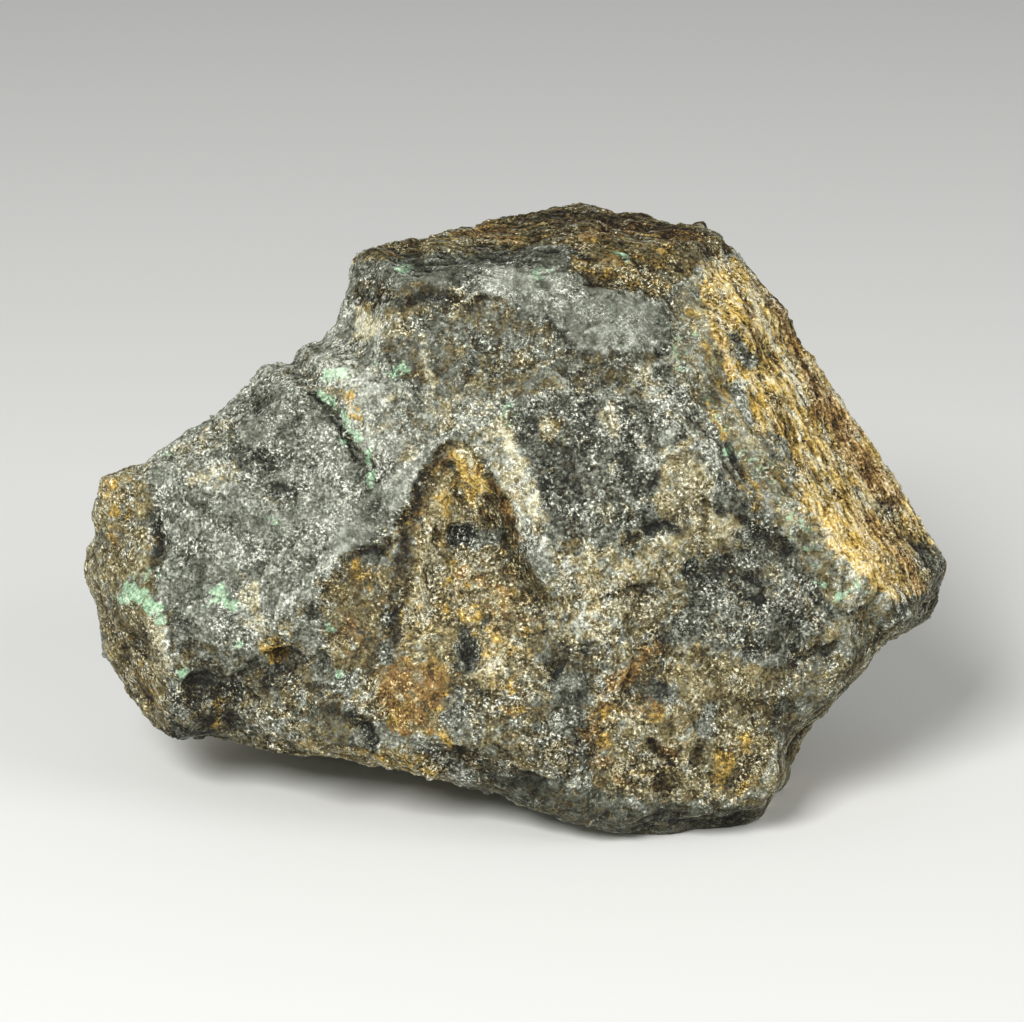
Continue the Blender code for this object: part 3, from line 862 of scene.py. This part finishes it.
# %% Rust
RUST = [
    (0.42, 8, (104, 480), (110, 500), (116, 545)),
    (0.5, 242, 621, 6, 12),
    (0.55, 352, 632, 22, 26, 10),
    (0.45, 9, (448, 448), (426, 482), (414, 520)),
    (0.8, 470, 575, 20, 12),
    (0.6, 500, 600, 18, 30),
    (0.75, 8, (492, 485), (506, 512), (514, 535)),
    (0.98, 390, 694, 14, 28),
    (0.95, 425, 690, 22, 20),
    (0.8, 494, 234, 30, 9, 10),
    (0.75, 8, (585, 232), (640, 226), (700, 240)),
    (0.65, 7, (560, 222), (600, 214), (640, 222)),
    (0.55, 499, 308, 9, 9),
    (0.35, 480, 325, 40, 14),
    (0.45, 350, 405, 10, 8),
    (0.35, 625, 585, 34, 26),
    (0.55, 612, 405, 10, 6),
    (0.9, 9, (658, 645), (640, 658), (624, 674), (606, 692)),
    (0.7, 10, (606, 692), (597, 712), (590, 735)),
    (0.55, 640, 705, 40, 16, 10),
    (0.8, 597, 758, 13, 16),
    (0.7, 618, 778, 7, 12),
    (0.75, 668, 748, 16, 8, 30),
    (0.6, 505, 712, 18, 10),
    (0.4, 740, 765, 18, 34),
    (1.0, 6, (774, 300), (791, 337), (811, 385), (818, 412)),
    (0.98, 9, (806, 370), (817, 396), (835, 425)),
    (0.9, 9, (868, 519), (899, 553), (922, 587)),
    (1.0, 14, (825, 400), (850, 445), (870, 470), (892, 498)),
    (0.6, 10, (845, 500), (870, 530), (895, 560)),
    (0.65, 7, (715, 330), (728, 360), (740, 395), (752, 425)),
    (0.55, 6, (735, 275), (745, 310), (760, 345), (772, 385)),
    (0.65, 9, (862, 530), (875, 560), (895, 590)),
    (0.6, 905, 525, 14, 22, -35),
    (0.7, 727, 366, 8, 12),
    (0.7, 764, 415, 10, 12),
    (0.6, 771, 470, 9, 8),
    (0.5, 800, 478, 9, 14),
]
print(len(RUST), "marks of rust")

# %% Ochre and gold
GOLD = [
    (0.75, 8, (106, 482), (112, 495), (114, 540)),
    (0.75, 6, (122, 498), (128, 520)),
    (0.5, 215, 430, 24, 9, -25),
    (0.3, 222, 472, 22, 10),
    (0.95, 273, 651, 15, 11),
    (0.85, 355, 412, 15, 10, 35),
    (0.6, 345, 398, 12, 7, 30),
    (0.6, 362, 572, 22, 20, 10),
    (0.65, 330, 690, 12, 10),
    (0.95, 216, 712, 8, 19, 8),
    (0.85, 7, (455, 448), (462, 470), (470, 500)),
    (0.9, 476, 480, 14, 20),
    (0.7, 448, 505, 18, 14),
    (0.9, 472, 612, 16, 12),
    (0.55, 495, 640, 24, 24),
    (0.8, 400, 680, 18, 12),
    (0.75, 412, 715, 26, 12),
    (0.7, 436, 700, 8, 24),
    (0.95, 508, 688, 12, 10),
    (0.75, 508, 712, 20, 10),
    (0.8, 445, 737, 14, 7, 15),
    (0.7, 9, (345, 752), (400, 758), (442, 772)),
    (0.65, 5, (450, 236), (500, 228), (520, 232)),
    (0.6, 5, (560, 240), (620, 238), (680, 250)),
    (0.85, 7, (575, 262), (620, 276), (664, 286)),
    (0.8, 8, (640, 255), (664, 264)),
    (0.6, 365, 310, 12, 9),
    (0.75, 552, 425, 12, 12),
    (0.55, 612, 418, 12, 14),
    (0.6, 690, 315, 16, 24, -6),
    (0.98, 4, (708, 402), (714, 415), (722, 436)),
    (0.7, 4, (742, 465), (748, 480), (757, 492)),
    (0.85, 757, 486, 9, 8),
    (0.5, 765, 512, 30, 18, 30),
    (0.95, 610, 712, 13, 14),
    (0.85, 658, 715, 12, 12),
    (0.75, 600, 740, 10, 14),
    (0.55, 640, 780, 30, 12),
    (0.95, 722, 770, 14, 28, 8),
    (0.85, 744, 740, 12, 14),
    (0.6, 745, 785, 12, 14),
    (0.75, 10, (722, 275), (738, 312), (756, 350)),
    (0.8, 7, (748, 330), (760, 360), (778, 395)),
    (0.98, 6, (724, 275), (730, 300), (738, 322)),
    (0.98, 5, (716, 330), (722, 345), (728, 352)),
    (0.98, 728, 366, 8, 12),
    (0.98, 769, 385, 8, 12),
    (0.95, 8, (785, 425), (797, 450), (806, 470)),
    (0.85, 20, (800, 430), (830, 480), (865, 540)),
    (0.98, 15, (815, 495), (845, 535), (878, 574)),
    (0.8, 895, 578, 22, 14, 55),
    (0.6, 5, (728, 478), (760, 500), (790, 520)),
    (0.65, 12, (808, 388), (845, 440), (885, 495)),
    (0.9, 8, (740, 345), (752, 380), (762, 408)),
    (0.8, 10, (870, 520), (895, 550), (912, 575)),
    (0.45, 130, 650, 10, 40, -20),
    (0.55, 10, (762, 432), (792, 488), (826, 545)),
    (0.5, 8, (706, 345), (726, 400), (745, 420)),
    (0.7, 150, 700, 9, 22, -25),
]
print(len(GOLD), "marks of gold")

# %% Cream and white
CREAM = [
    (0.8, 8, (192, 482), (212, 468), (232, 462), (238, 480)),
    (0.6, 190, 448, 40, 8, -25),
    (0.55, 150, 490, 14, 12),
    (0.6, 225, 421, 14, 10, -20),
    (0.75, 250, 592, 14, 20, 10),
    (0.8, 258, 622, 10, 16, 20),
    (0.75, 8, (152, 610), (158, 650), (160, 680)),
    (0.6, 296, 375, 20, 9, 20),
    (0.55, 325, 388, 26, 10, 20),
    (0.6, 5, (318, 596), (324, 612), (326, 628)),
    (0.9, 367, 325, 14, 17),
    (0.85, 4.5, (421, 338), (427, 365), (432, 394)),
    (0.5, 9, (408, 455), (438, 425), (462, 412), (490, 405)),
    (0.9, 9, (503, 430), (512, 450), (518, 470)),
    (0.6, 9, (508, 482), (530, 492), (538, 510)),
    (0.75, 9, (432, 545), (434, 580), (428, 620)),
    (0.6, 400, 630, 12, 20, 15),
    (0.65, 492, 665, 26, 9),
    (0.55, 270, 498, 30, 8, 20),
    (0.7, 551, 424, 12, 13),
    (0.85, 642, 368, 11, 14),
    (0.92, 611, 422, 13, 22),
    (0.7, 4, (634, 405), (640, 430)),
    (0.75, 4, (632, 432), (640, 440), (644, 446)),
    (0.5, 7, (612, 450), (614, 480)),
    (0.7, 605, 512, 9, 16),
    (0.65, 612, 605, 18, 9),
    (0.7, 663, 535, 9, 12),
    (0.7, 5, (575, 262), (620, 272), (664, 290)),
    (0.6, 684, 490, 22, 46),
    (0.6, 722, 530, 16, 12),
    (0.75, 697, 690, 9, 20),
    (0.55, 745, 645, 40, 10, 15),
    (0.75, 760, 690, 9, 6),
    (0.7, 4, (800, 668), (812, 660), (818, 648)),
    (0.95, 4, (607, 720), (625, 714), (643, 726)),
    (0.8, 4, (713, 742), (727, 734), (742, 727)),
    (0.65, 700, 778, 7, 8),
    (0.75, 7, (672, 300), (676, 335), (684, 385)),
    (0.7, 690, 302, 16, 12),
    (0.98, 3.5, (830, 388), (852, 415), (880, 440), (907, 492), (943, 556)),
    (0.75, 3, (750, 296), (756, 310), (762, 325)),
    (0.65, 3, (745, 272), (760, 290), (775, 302)),
    (0.98, 4, (767, 327), (791, 378), (808, 408)),
    (0.75, 4, (791, 412), (808, 452), (831, 486)),
    (0.6, 3, (738, 285), (752, 322), (772, 356)),
    (0.8, 4, (700, 250), (712, 258), (722, 262)),
    (0.75, 9, (858, 490), (872, 502), (888, 516)),
    (0.6, 270, 735, 12, 5),
    (0.95, 4, (775, 534), (777, 546), (777, 552)),
    (0.7, 770, 575, 16, 12),
    (0.7, 6, (780, 505), (790, 518), (800, 530)),
    (0.6, 5, (640, 712), (660, 735)),
]
print(len(CREAM), "marks of cream")

# %% Copper green
MINT = [
    (1.0, 132, 596, 22, 14, 15),
    (1.0, 153, 603, 15, 9, 20),
    (0.95, 6, (150, 604), (157, 612), (158, 622)),
    (0.95, 218, 591, 11, 6),
    (0.85, 232, 603, 8, 8),
    (0.5, 228, 602, 26, 12),
    (0.95, 241, 647, 6, 5),
    (1.0, 180, 674, 8, 7),
    (0.98, 338, 671, 7, 5),
    (0.85, 335, 376, 17, 8, 10),
    (0.98, 6, (322, 390), (334, 404)),
    (0.7, 4, (334, 404), (346, 422)),
    (0.98, 5, (346, 421), (360, 438)),
    (0.9, 344, 440, 5, 5),
    (0.9, 3.5, (365, 448), (369, 466), (370, 484)),
    (0.75, 170, 455, 14, 6, -15),
    (0.7, 404, 268, 18, 5),
    (0.55, 623, 256, 9, 5),
    (0.65, 543, 272, 11, 7),
    (0.8, 797, 527, 9, 8),
    (0.9, 821, 584, 8, 6, 10),
    (0.8, 842, 592, 7, 7),
    (0.9, 727, 450, 5, 6),
    (0.5, 7, (672, 330), (682, 360), (688, 390)),
    (0.45, 770, 480, 30, 16, 35),
    (0.7, 268, 519, 11, 5),
    (0.35, 150, 575, 30, 20),
    (0.3, 850, 590, 40, 16, 30),
    (0.6, 330, 625, 8, 14),
    (0.5, 395, 372, 24, 10, 30),
    (0.4, 510, 420, 14, 16),
]
print(len(MINT), "marks of copper green")

# %% Dark grains that no stain covers
# how clean it is, then a spot or a stroke
CLEAN = [
    (0.9, 462, 537, 24, 13),
    (0.75, 492, 536, 11, 8),
    (0.85, 465, 655, 15, 26),
    (0.8, 378, 558, 14, 8),
    (0.7, 387, 615, 8, 8),
    (0.75, 540, 560, 14, 30, -15),
    (0.6, 570, 700, 20, 40),
    (0.7, 655, 528, 22, 9, -5),
    (0.7, 692, 566, 9, 13),
    (0.8, 742, 400, 10, 26, -20),
    (0.6, 460, 720, 18, 20),
    (0.75, 660, 692, 19, 12),
    (0.6, 668, 638, 10, 9),
    (0.6, 752, 650, 11, 11),
    (0.7, 706, 722, 12, 18),
    (0.6, 7, (736, 334), (748, 362)),
    (0.6, 560, 250, 30, 6, 5),
]
print(len(CLEAN), "dark grains kept clean")

# %% Where layers are cut
# how far the points are pressed together, for long streaks and for short ones
LONG_STREAK, SHORT_STREAK = 0.11, 0.3
marks = Marks(points, normals, ragged=0.6)
shown = marks.faces_viewer
places = places_of(marks)
layered = soft_step(0.25, 0.65, 1 - np.abs(normals @ LAYER_FACE))


def drawn_out(share):
    """The points, pressed together along the layers, so that noise on them comes out as streaks."""
    return np.column_stack([points @ LAYER_ALONG * share, points @ LAYER_UP * share, points @ LAYER_FACE])


long_place, short_place = drawn_out(LONG_STREAK), drawn_out(SHORT_STREAK)
mottle = rough(points, 4.5, 73, 3, 0.6)
bands = swell(long_place, 1.5, 91)
print("share of the stone where layers are cut:", round(float(layered.mean()), 2))

# %% Tone and grain
# brightness goes from 0 to 1: its middle, how much each noise changes it, and how much painted shade in
# hollows and painted highlight on edges the edge heights give
MIDDLE_TONE = 0.385
MOTTLING, BANDING, STREAKING = 0.035, 0.07, 0.12
SHADE_AND_HIGHLIGHT_WIDE, SHADE_AND_HIGHLIGHT_FINE = 0.12, 0.08
edge_wide, edge_fine = recall(stone, "edge wide"), recall(stone, "edge fine")
tone = MIDDLE_TONE + places["tone"] * shown + marks.lay(TONE)
tone += MOTTLING * mottle * (1 - layered)
tone += (BANDING * bands + STREAKING * rough(short_place, 1.4, 93, 2, 0.8)) * layered
tone += (1 - shown) * (0.10 * rough(points, 15.0, 71) + 0.035)
# painted shade in hollows and creases, painted highlight on ridges and edges
tone += SHADE_AND_HIGHLIGHT_WIDE * np.clip(edge_wide / 0.8, -1.3, 0.4)
tone += SHADE_AND_HIGHLIGHT_FINE * np.clip(edge_fine / 0.12, -1.5, 1.0)
contrast = places["grain"] + 0.15 * swell(points, 7.0, 83)
contrast -= 0.25 * (1 - shown) * soft_step(-0.1, 0.4, swell(points, 16.0, 87))
flecks = (0.56 + 0.95 * rough(points, 3.6, 59, 3, 0.7)) * (0.7 + 0.3 * shown)
for name, height in (("wide", edge_wide), ("fine", edge_fine)):
    print(name, "edges, mm:", np.round(np.percentile(height, (2, 50, 98)), 3))

# %% How a stain spreads
# amount on the hidden sides, its swing, the size of a patch in mm, and the layer of noise
HIDDEN = {
    "brown": (0.58, 0.75, 12.0, 101),
    "rust": (-0.06, 0.75, 9.0, 103),
    "gold": (0.0, 0.75, 10.0, 107),
    "cream": (0.05, 0.6, 6.0, 109),
    "mint": (-0.25, 0.9, 5.0, 113),
}
STAINS = {"brown": BROWN, "rust": RUST, "gold": GOLD, "cream": CREAM, "mint": MINT}
clean = marks.lay(CLEAN)


def drift(layer):
    """Noise that moves a stain's border: blotches on plain rock, streaks where layers are cut."""
    blotches = rough(points, 3.0, layer + 4, 3, 0.7) * (1 - layered)
    streaks = (0.6 * rough(short_place, 1.5, layer + 9) + 0.8 * swell(long_place, 1.1, layer + 13)) * layered
    return 0.6 * (blotches + streaks) + 0.3 * (mottle * (1 - layered) + bands * layered)


def covered_by(name):
    """How much of each point a stain covers, before it is limited to 0 and 1."""
    level, swing, size, layer = HIDDEN[name]
    seen = np.maximum(marks.lay(STAINS[name]), places[name])
    if name != "cream":
        seen *= 1 - clean
    hidden = np.clip(level + swing * rough(points, size, layer), 0, 0.85)
    cover = seen * shown + (1 - shown) * hidden
    loose = 0.12 + 1.1 * cover * (1 - cover) * (1 + 0.8 * layered)
    return cover + loose * drift(layer) * (cover > 0.02)


amount = {name: covered_by(name) for name in STAINS}
print("stains:", ", ".join(amount))

# %% The whole set of amounts
# more of these stains on the hidden side that faces right, next to the rusty one
MORE_BEHIND = {"brown": 0.4, "rust": 0.35, "gold": 0.45}
rusty_back = soft_step(0.55, 0.85, normals[:, 0]) * (1 - shown)
for name, more in MORE_BEHIND.items():
    amount[name] += more * rusty_back * (1 + 0.5 * bands)
amount = {name: np.clip(values, 0, 1) for name, values in amount.items()}
amount["tone"] = np.clip(tone, 0, 1)
amount["contrast"] = np.clip(1.07 * contrast, 0.25, 1.7)
amount["flecks"] = np.clip(flecks + 0.45 * amount["cream"], 0.06, 1.8)
amount["streaks"] = layered
for name, values in amount.items():
    store(stone, name, values)
    print(name, "mean", round(float(values.mean()), 2))

# %% [markdown]
# ## The material
# Seen close, the rock is salt and pepper: a calm grey ground of dark allanite and grey quartz,
# with pale grains of feldspar a third of a millimetre wide. The brightest ones lie in clusters
# and have dark rims. One grey value holds that pattern. Each stain colours it through
# its own ramp, so the grains show through the stain as they do on the stone. Everything follows
# object coordinates in millimetres, so it needs no unwrapping.


# %% Helpers for nodes
def add(tree, kind, inputs=(), **settings):
    """Adds a node. inputs maps a socket to a value or to another node's output."""
    made = tree.nodes.new("ShaderNode" + kind)
    for name, value in settings.items():
        setattr(made, name, value)
    for key, value in dict(inputs).items():
        if isinstance(value, bpy.types.NodeSocket):
            tree.links.new(value, made.inputs[key])
        else:
            made.inputs[key].default_value = value
    return made


def maths(tree, operation, *values):
    """One step of arithmetic."""
    return add(tree, "Math", enumerate(values), operation=operation).outputs[0]


def colour(red, green, blue):
    """A colour as a screen shows it, 0 to 255, turned into light."""
    parts = [v / 255 for v in (red, green, blue)]
    return tuple(v / 12.92 if v < 0.04045 else ((v + 0.055) / 1.055) ** 2.4 for v in parts) + (1,)


def ramp(tree, value, stops, shades):
    """Turns a value into a colour: each shade at its own stop, blended between them."""
    made = add(tree, "ValToRGB", {"Fac": value})
    keys = made.color_ramp.elements
    while len(keys) < len(stops):
        keys.new(0.5)
    for key, stop, shade in zip(keys, stops, shades):
        key.position = stop
        key.color = colour(*shade)
    return made.outputs["Color"]


def blend(tree, share, first, second):
    """Mixes two colours."""
    return add(tree, "Mix", {0: share, 6: first, 7: second}, data_type="RGBA").outputs[2]


# %% A crust with a broken edge
def broken_edge_group():
    """Amount is how much of a place is covered. Pattern, 0 to 1, says which grains are covered first."""
    group = bpy.data.node_groups.new("broken edge", "ShaderNodeTree")
    for name, way in (("Amount", "INPUT"), ("Pattern", "INPUT"), ("Softness", "INPUT"), ("Mask", "OUTPUT")):
        group.interface.new_socket(name, in_out=way, socket_type="NodeSocketFloat")
    entry = group.nodes.new("NodeGroupInput").outputs
    leave = group.nodes.new("NodeGroupOutput").inputs
    wider = maths(group, "MULTIPLY_ADD", entry["Softness"], 0.25, 1.0)
    reach = maths(group, "MULTIPLY", entry["Amount"], wider)
    over = maths(group, "SUBTRACT", reach, entry["Pattern"])
    limits = {"Value": over, "From Min": 0.0, "From Max": entry["Softness"]}
    step = add(group, "MapRange", limits, interpolation_type="SMOOTHSTEP")
    group.links.new(step.outputs["Result"], leave["Mask"])
    return group


broken_edge = broken_edge_group()
print("sockets of the group:", [socket.name for socket in broken_edge.interface.items_tree])

# %% Values in the material
material = bpy.data.materials.new("allanite_rock")
material.use_nodes = True
tree = material.node_tree
shader = tree.nodes["Principled BSDF"]


def attribute(name):
    """One of the amounts kept in the mesh."""
    return add(tree, "Attribute", attribute_name=name, attribute_type="GEOMETRY").outputs["Fac"]


def noise(vector, size, detail, roughness):
    """Noise with bumps of a size in mm: its value, and three more values that don't go together."""
    settings = {"Vector": vector, "Scale": 1.0 / size, "Detail": detail, "Roughness": roughness}
    made = add(tree, "TexNoise", settings)
    parts = add(tree, "SeparateColor", {0: made.outputs["Color"]}).outputs
    return made.outputs["Fac"], parts[0], parts[1], parts[2]


def between(value, start, end, top=1.0, bottom=0.0):
    """bottom at start, top at end, and straight between them."""
    limits = {"Value": value, "From Min": start, "From Max": end, "To Min": bottom, "To Max": top}
    return add(tree, "MapRange", limits).outputs[0]


def weigh(*pairs):
    """Adds values, each less one half and times its weight."""
    total = None
    for value, weight in pairs:
        part = maths(tree, "MULTIPLY_ADD", value, weight, -0.5 * weight)
        total = part if total is None else maths(tree, "ADD", total, part)
    return total


object_place = add(tree, "TexCoord").outputs["Object"]
place = add(tree, "VectorMath", {0: object_place, "Scale": 1 / MM}, operation="SCALE").outputs[0]
streaks = attribute("streaks")


def where_cut(plain, cut):
    """The first value on plain rock, the second where layers are cut."""
    return add(tree, "Mix", {0: streaks, 2: plain, 3: cut}, data_type="FLOAT").outputs[0]


def axis(direction, times):
    """How far a place lies along a direction, mm, pressed together by times."""
    scaled = tuple(float(v) * times for v in direction)
    return add(tree, "VectorMath", {0: place, 1: scaled}, operation="DOT_PRODUCT").outputs["Value"]


# %% Patches, lines and grains
PATCH, LINE, FINE_GRAIN, COARSE_GRAIN = 1.35, 0.85, 0.40, 0.34
LAYER_STRETCH = 0.26
directions = ((LAYER_ALONG, LAYER_STRETCH), (LAYER_UP, LAYER_STRETCH), (LAYER_FACE, 1.0))
layer_place = add(tree, "CombineXYZ", enumerate(axis(*one) for one in directions)).outputs[0]
fine, fine_r, fine_g, _ = noise(place, FINE_GRAIN, 1.0, 0.70)
patch, *patch_parts = noise(place, PATCH, 2.0, 0.6)
line, *line_parts = noise(layer_place, LINE, 2.5, 0.65)
grain = add(tree, "TexVoronoi", {"Vector": place, "Scale": 1 / COARSE_GRAIN})
grain_parts = add(tree, "SeparateColor", {0: grain.outputs["Color"]}).outputs
print("grains of", FINE_GRAIN, "and", COARSE_GRAIN, "mm, patches of", PATCH, "mm")

# %% The salt and pepper
ground = where_cut(weigh((patch, 0.50), (fine, 0.55)), weigh((line, 1.15), (fine, 0.45)))
# bright grains lie where one noise is near one half, in clusters, and a dark rim lies beside them
near_half = maths(tree, "ABSOLUTE", maths(tree, "SUBTRACT", fine_r, 0.5))
cluster = between(patch_parts[1], 0.45, 0.60, 0.62, 0.12)
bright = maths(tree, "MULTIPLY", between(near_half, 0.045, 0.008), cluster)
beside = maths(tree, "ABSOLUTE", maths(tree, "SUBTRACT", near_half, 0.075))
fleck = maths(tree, "ADD", bright, between(beside, 0.035, 0.0, -0.17))
fleck = maths(tree, "ADD", fleck, between(fine, 0.56, 0.68, 0.50))
fleck = maths(tree, "MULTIPLY", fleck, attribute("flecks"))
speck = between(fine_g, 0.41, 0.33, -0.15)
small_grains = maths(tree, "ADD", weigh((grain_parts[0], 0.24)), maths(tree, "ADD", fleck, speck))
pattern = maths(tree, "MULTIPLY", maths(tree, "ADD", ground, small_grains), attribute("contrast"))
grey = maths(tree, "ADD", pattern, attribute("tone"))
print("nodes so far:", len(tree.nodes))

# %% One ramp for each stain
STOPS = (0.0, 0.20, 0.42, 0.62, 0.80, 1.0)
GREYS = ((8, 9, 6), (54, 55, 43), (106, 109, 96), (167, 170, 156), (223, 226, 208), (248, 248, 232))
BROWNS = ((14, 9, 3), (62, 53, 29), (116, 106, 71), (178, 167, 127), (231, 221, 179), (250, 242, 214))
RUSTS = ((18, 10, 3), (68, 50, 25), (133, 103, 56), (194, 161, 103), (236, 212, 158), (250, 236, 200))
GOLDS = ((22, 14, 3), (74, 57, 22), (142, 118, 56), (208, 172, 84), (240, 212, 128), (252, 242, 202))
CREAMS = ((22, 20, 12), (66, 62, 44), (122, 116, 90), (188, 182, 148), (236, 230, 198), (252, 248, 226))
MINT_STOPS = (0.0, 0.22, 0.42, 0.60, 0.80, 1.0)
MINTS = ((16, 26, 18), (66, 82, 64), (112, 136, 110), (152, 184, 150), (194, 226, 188), (232, 248, 222))

# from the lowest crust to the top one: softness of its edge, which part of the noise it follows
# on plain rock and where layers are cut, how much paler it makes the grain, its stops and shades
CRUSTS = {
    "brown": (0.80, 0, 0, 0.0, STOPS, BROWNS),
    "gold": (0.65, 2, 2, 0.04, STOPS, GOLDS),
    "rust": (0.65, 1, 1, 0.0, STOPS, RUSTS),
    "cream": (0.60, 1, 0, 0.04, STOPS, CREAMS),
    "mint": (0.50, 2, 1, 0.19, MINT_STOPS, MINTS),
}
# noise keeps near one half, and this much on each side of it is spread to 0 and 1
SPREAD = 0.5 / 2.6
painted = ramp(tree, grey, STOPS, GREYS)
for name, (softness, on_plain, on_cut, paler, stops, shades) in CRUSTS.items():
    noisy = where_cut(patch_parts[on_plain], line_parts[on_cut])
    order = between(noisy, 0.5 - SPREAD, 0.5 + SPREAD)
    sockets = {"Amount": attribute(name), "Pattern": order, "Softness": softness}
    mask = add(tree, "Group", sockets, node_tree=broken_edge).outputs["Mask"]
    painted = blend(tree, mask, painted, ramp(tree, maths(tree, "ADD", grey, paler), stops, shades))
tree.links.new(painted, shader.inputs["Base Color"])
print(len(CRUSTS), "crusts on the grey")

# %% Lustre and the finest relief
GLASSY_SHARE = 0.14
glassy = maths(tree, "GREATER_THAN", grain_parts[2], 1 - GLASSY_SHARE)
matt = maths(tree, "MULTIPLY_ADD", fine, 0.5, 0.42)
tree.links.new(maths(tree, "MULTIPLY_ADD", glassy, -0.28, matt), shader.inputs["Roughness"])
shader.inputs["Specular IOR Level"].default_value = 0.25
bump = add(tree, "Bump", {"Strength": 0.75, "Distance": 0.25 * MM, "Height": pattern})
tree.links.new(bump.outputs["Normal"], shader.inputs["Normal"])
stone.data.materials.clear()
stone.data.materials.append(material)
print("nodes in the stone's material:", len(tree.nodes))

# %% The floor's finish
floor_material = bpy.data.materials.new("pale_floor")
floor_material.use_nodes = True
floor_shader = floor_material.node_tree.nodes["Principled BSDF"]
floor_shader.inputs["Base Color"].default_value = colour(226, 226, 223)
floor_shader.inputs["Roughness"].default_value = 0.8
floor_mesh.materials.append(floor_material)
print("floor finish:", floor_material.name)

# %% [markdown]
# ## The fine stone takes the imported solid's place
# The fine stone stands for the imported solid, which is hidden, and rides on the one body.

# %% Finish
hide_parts("allanite_stone")
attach(stone, "root")
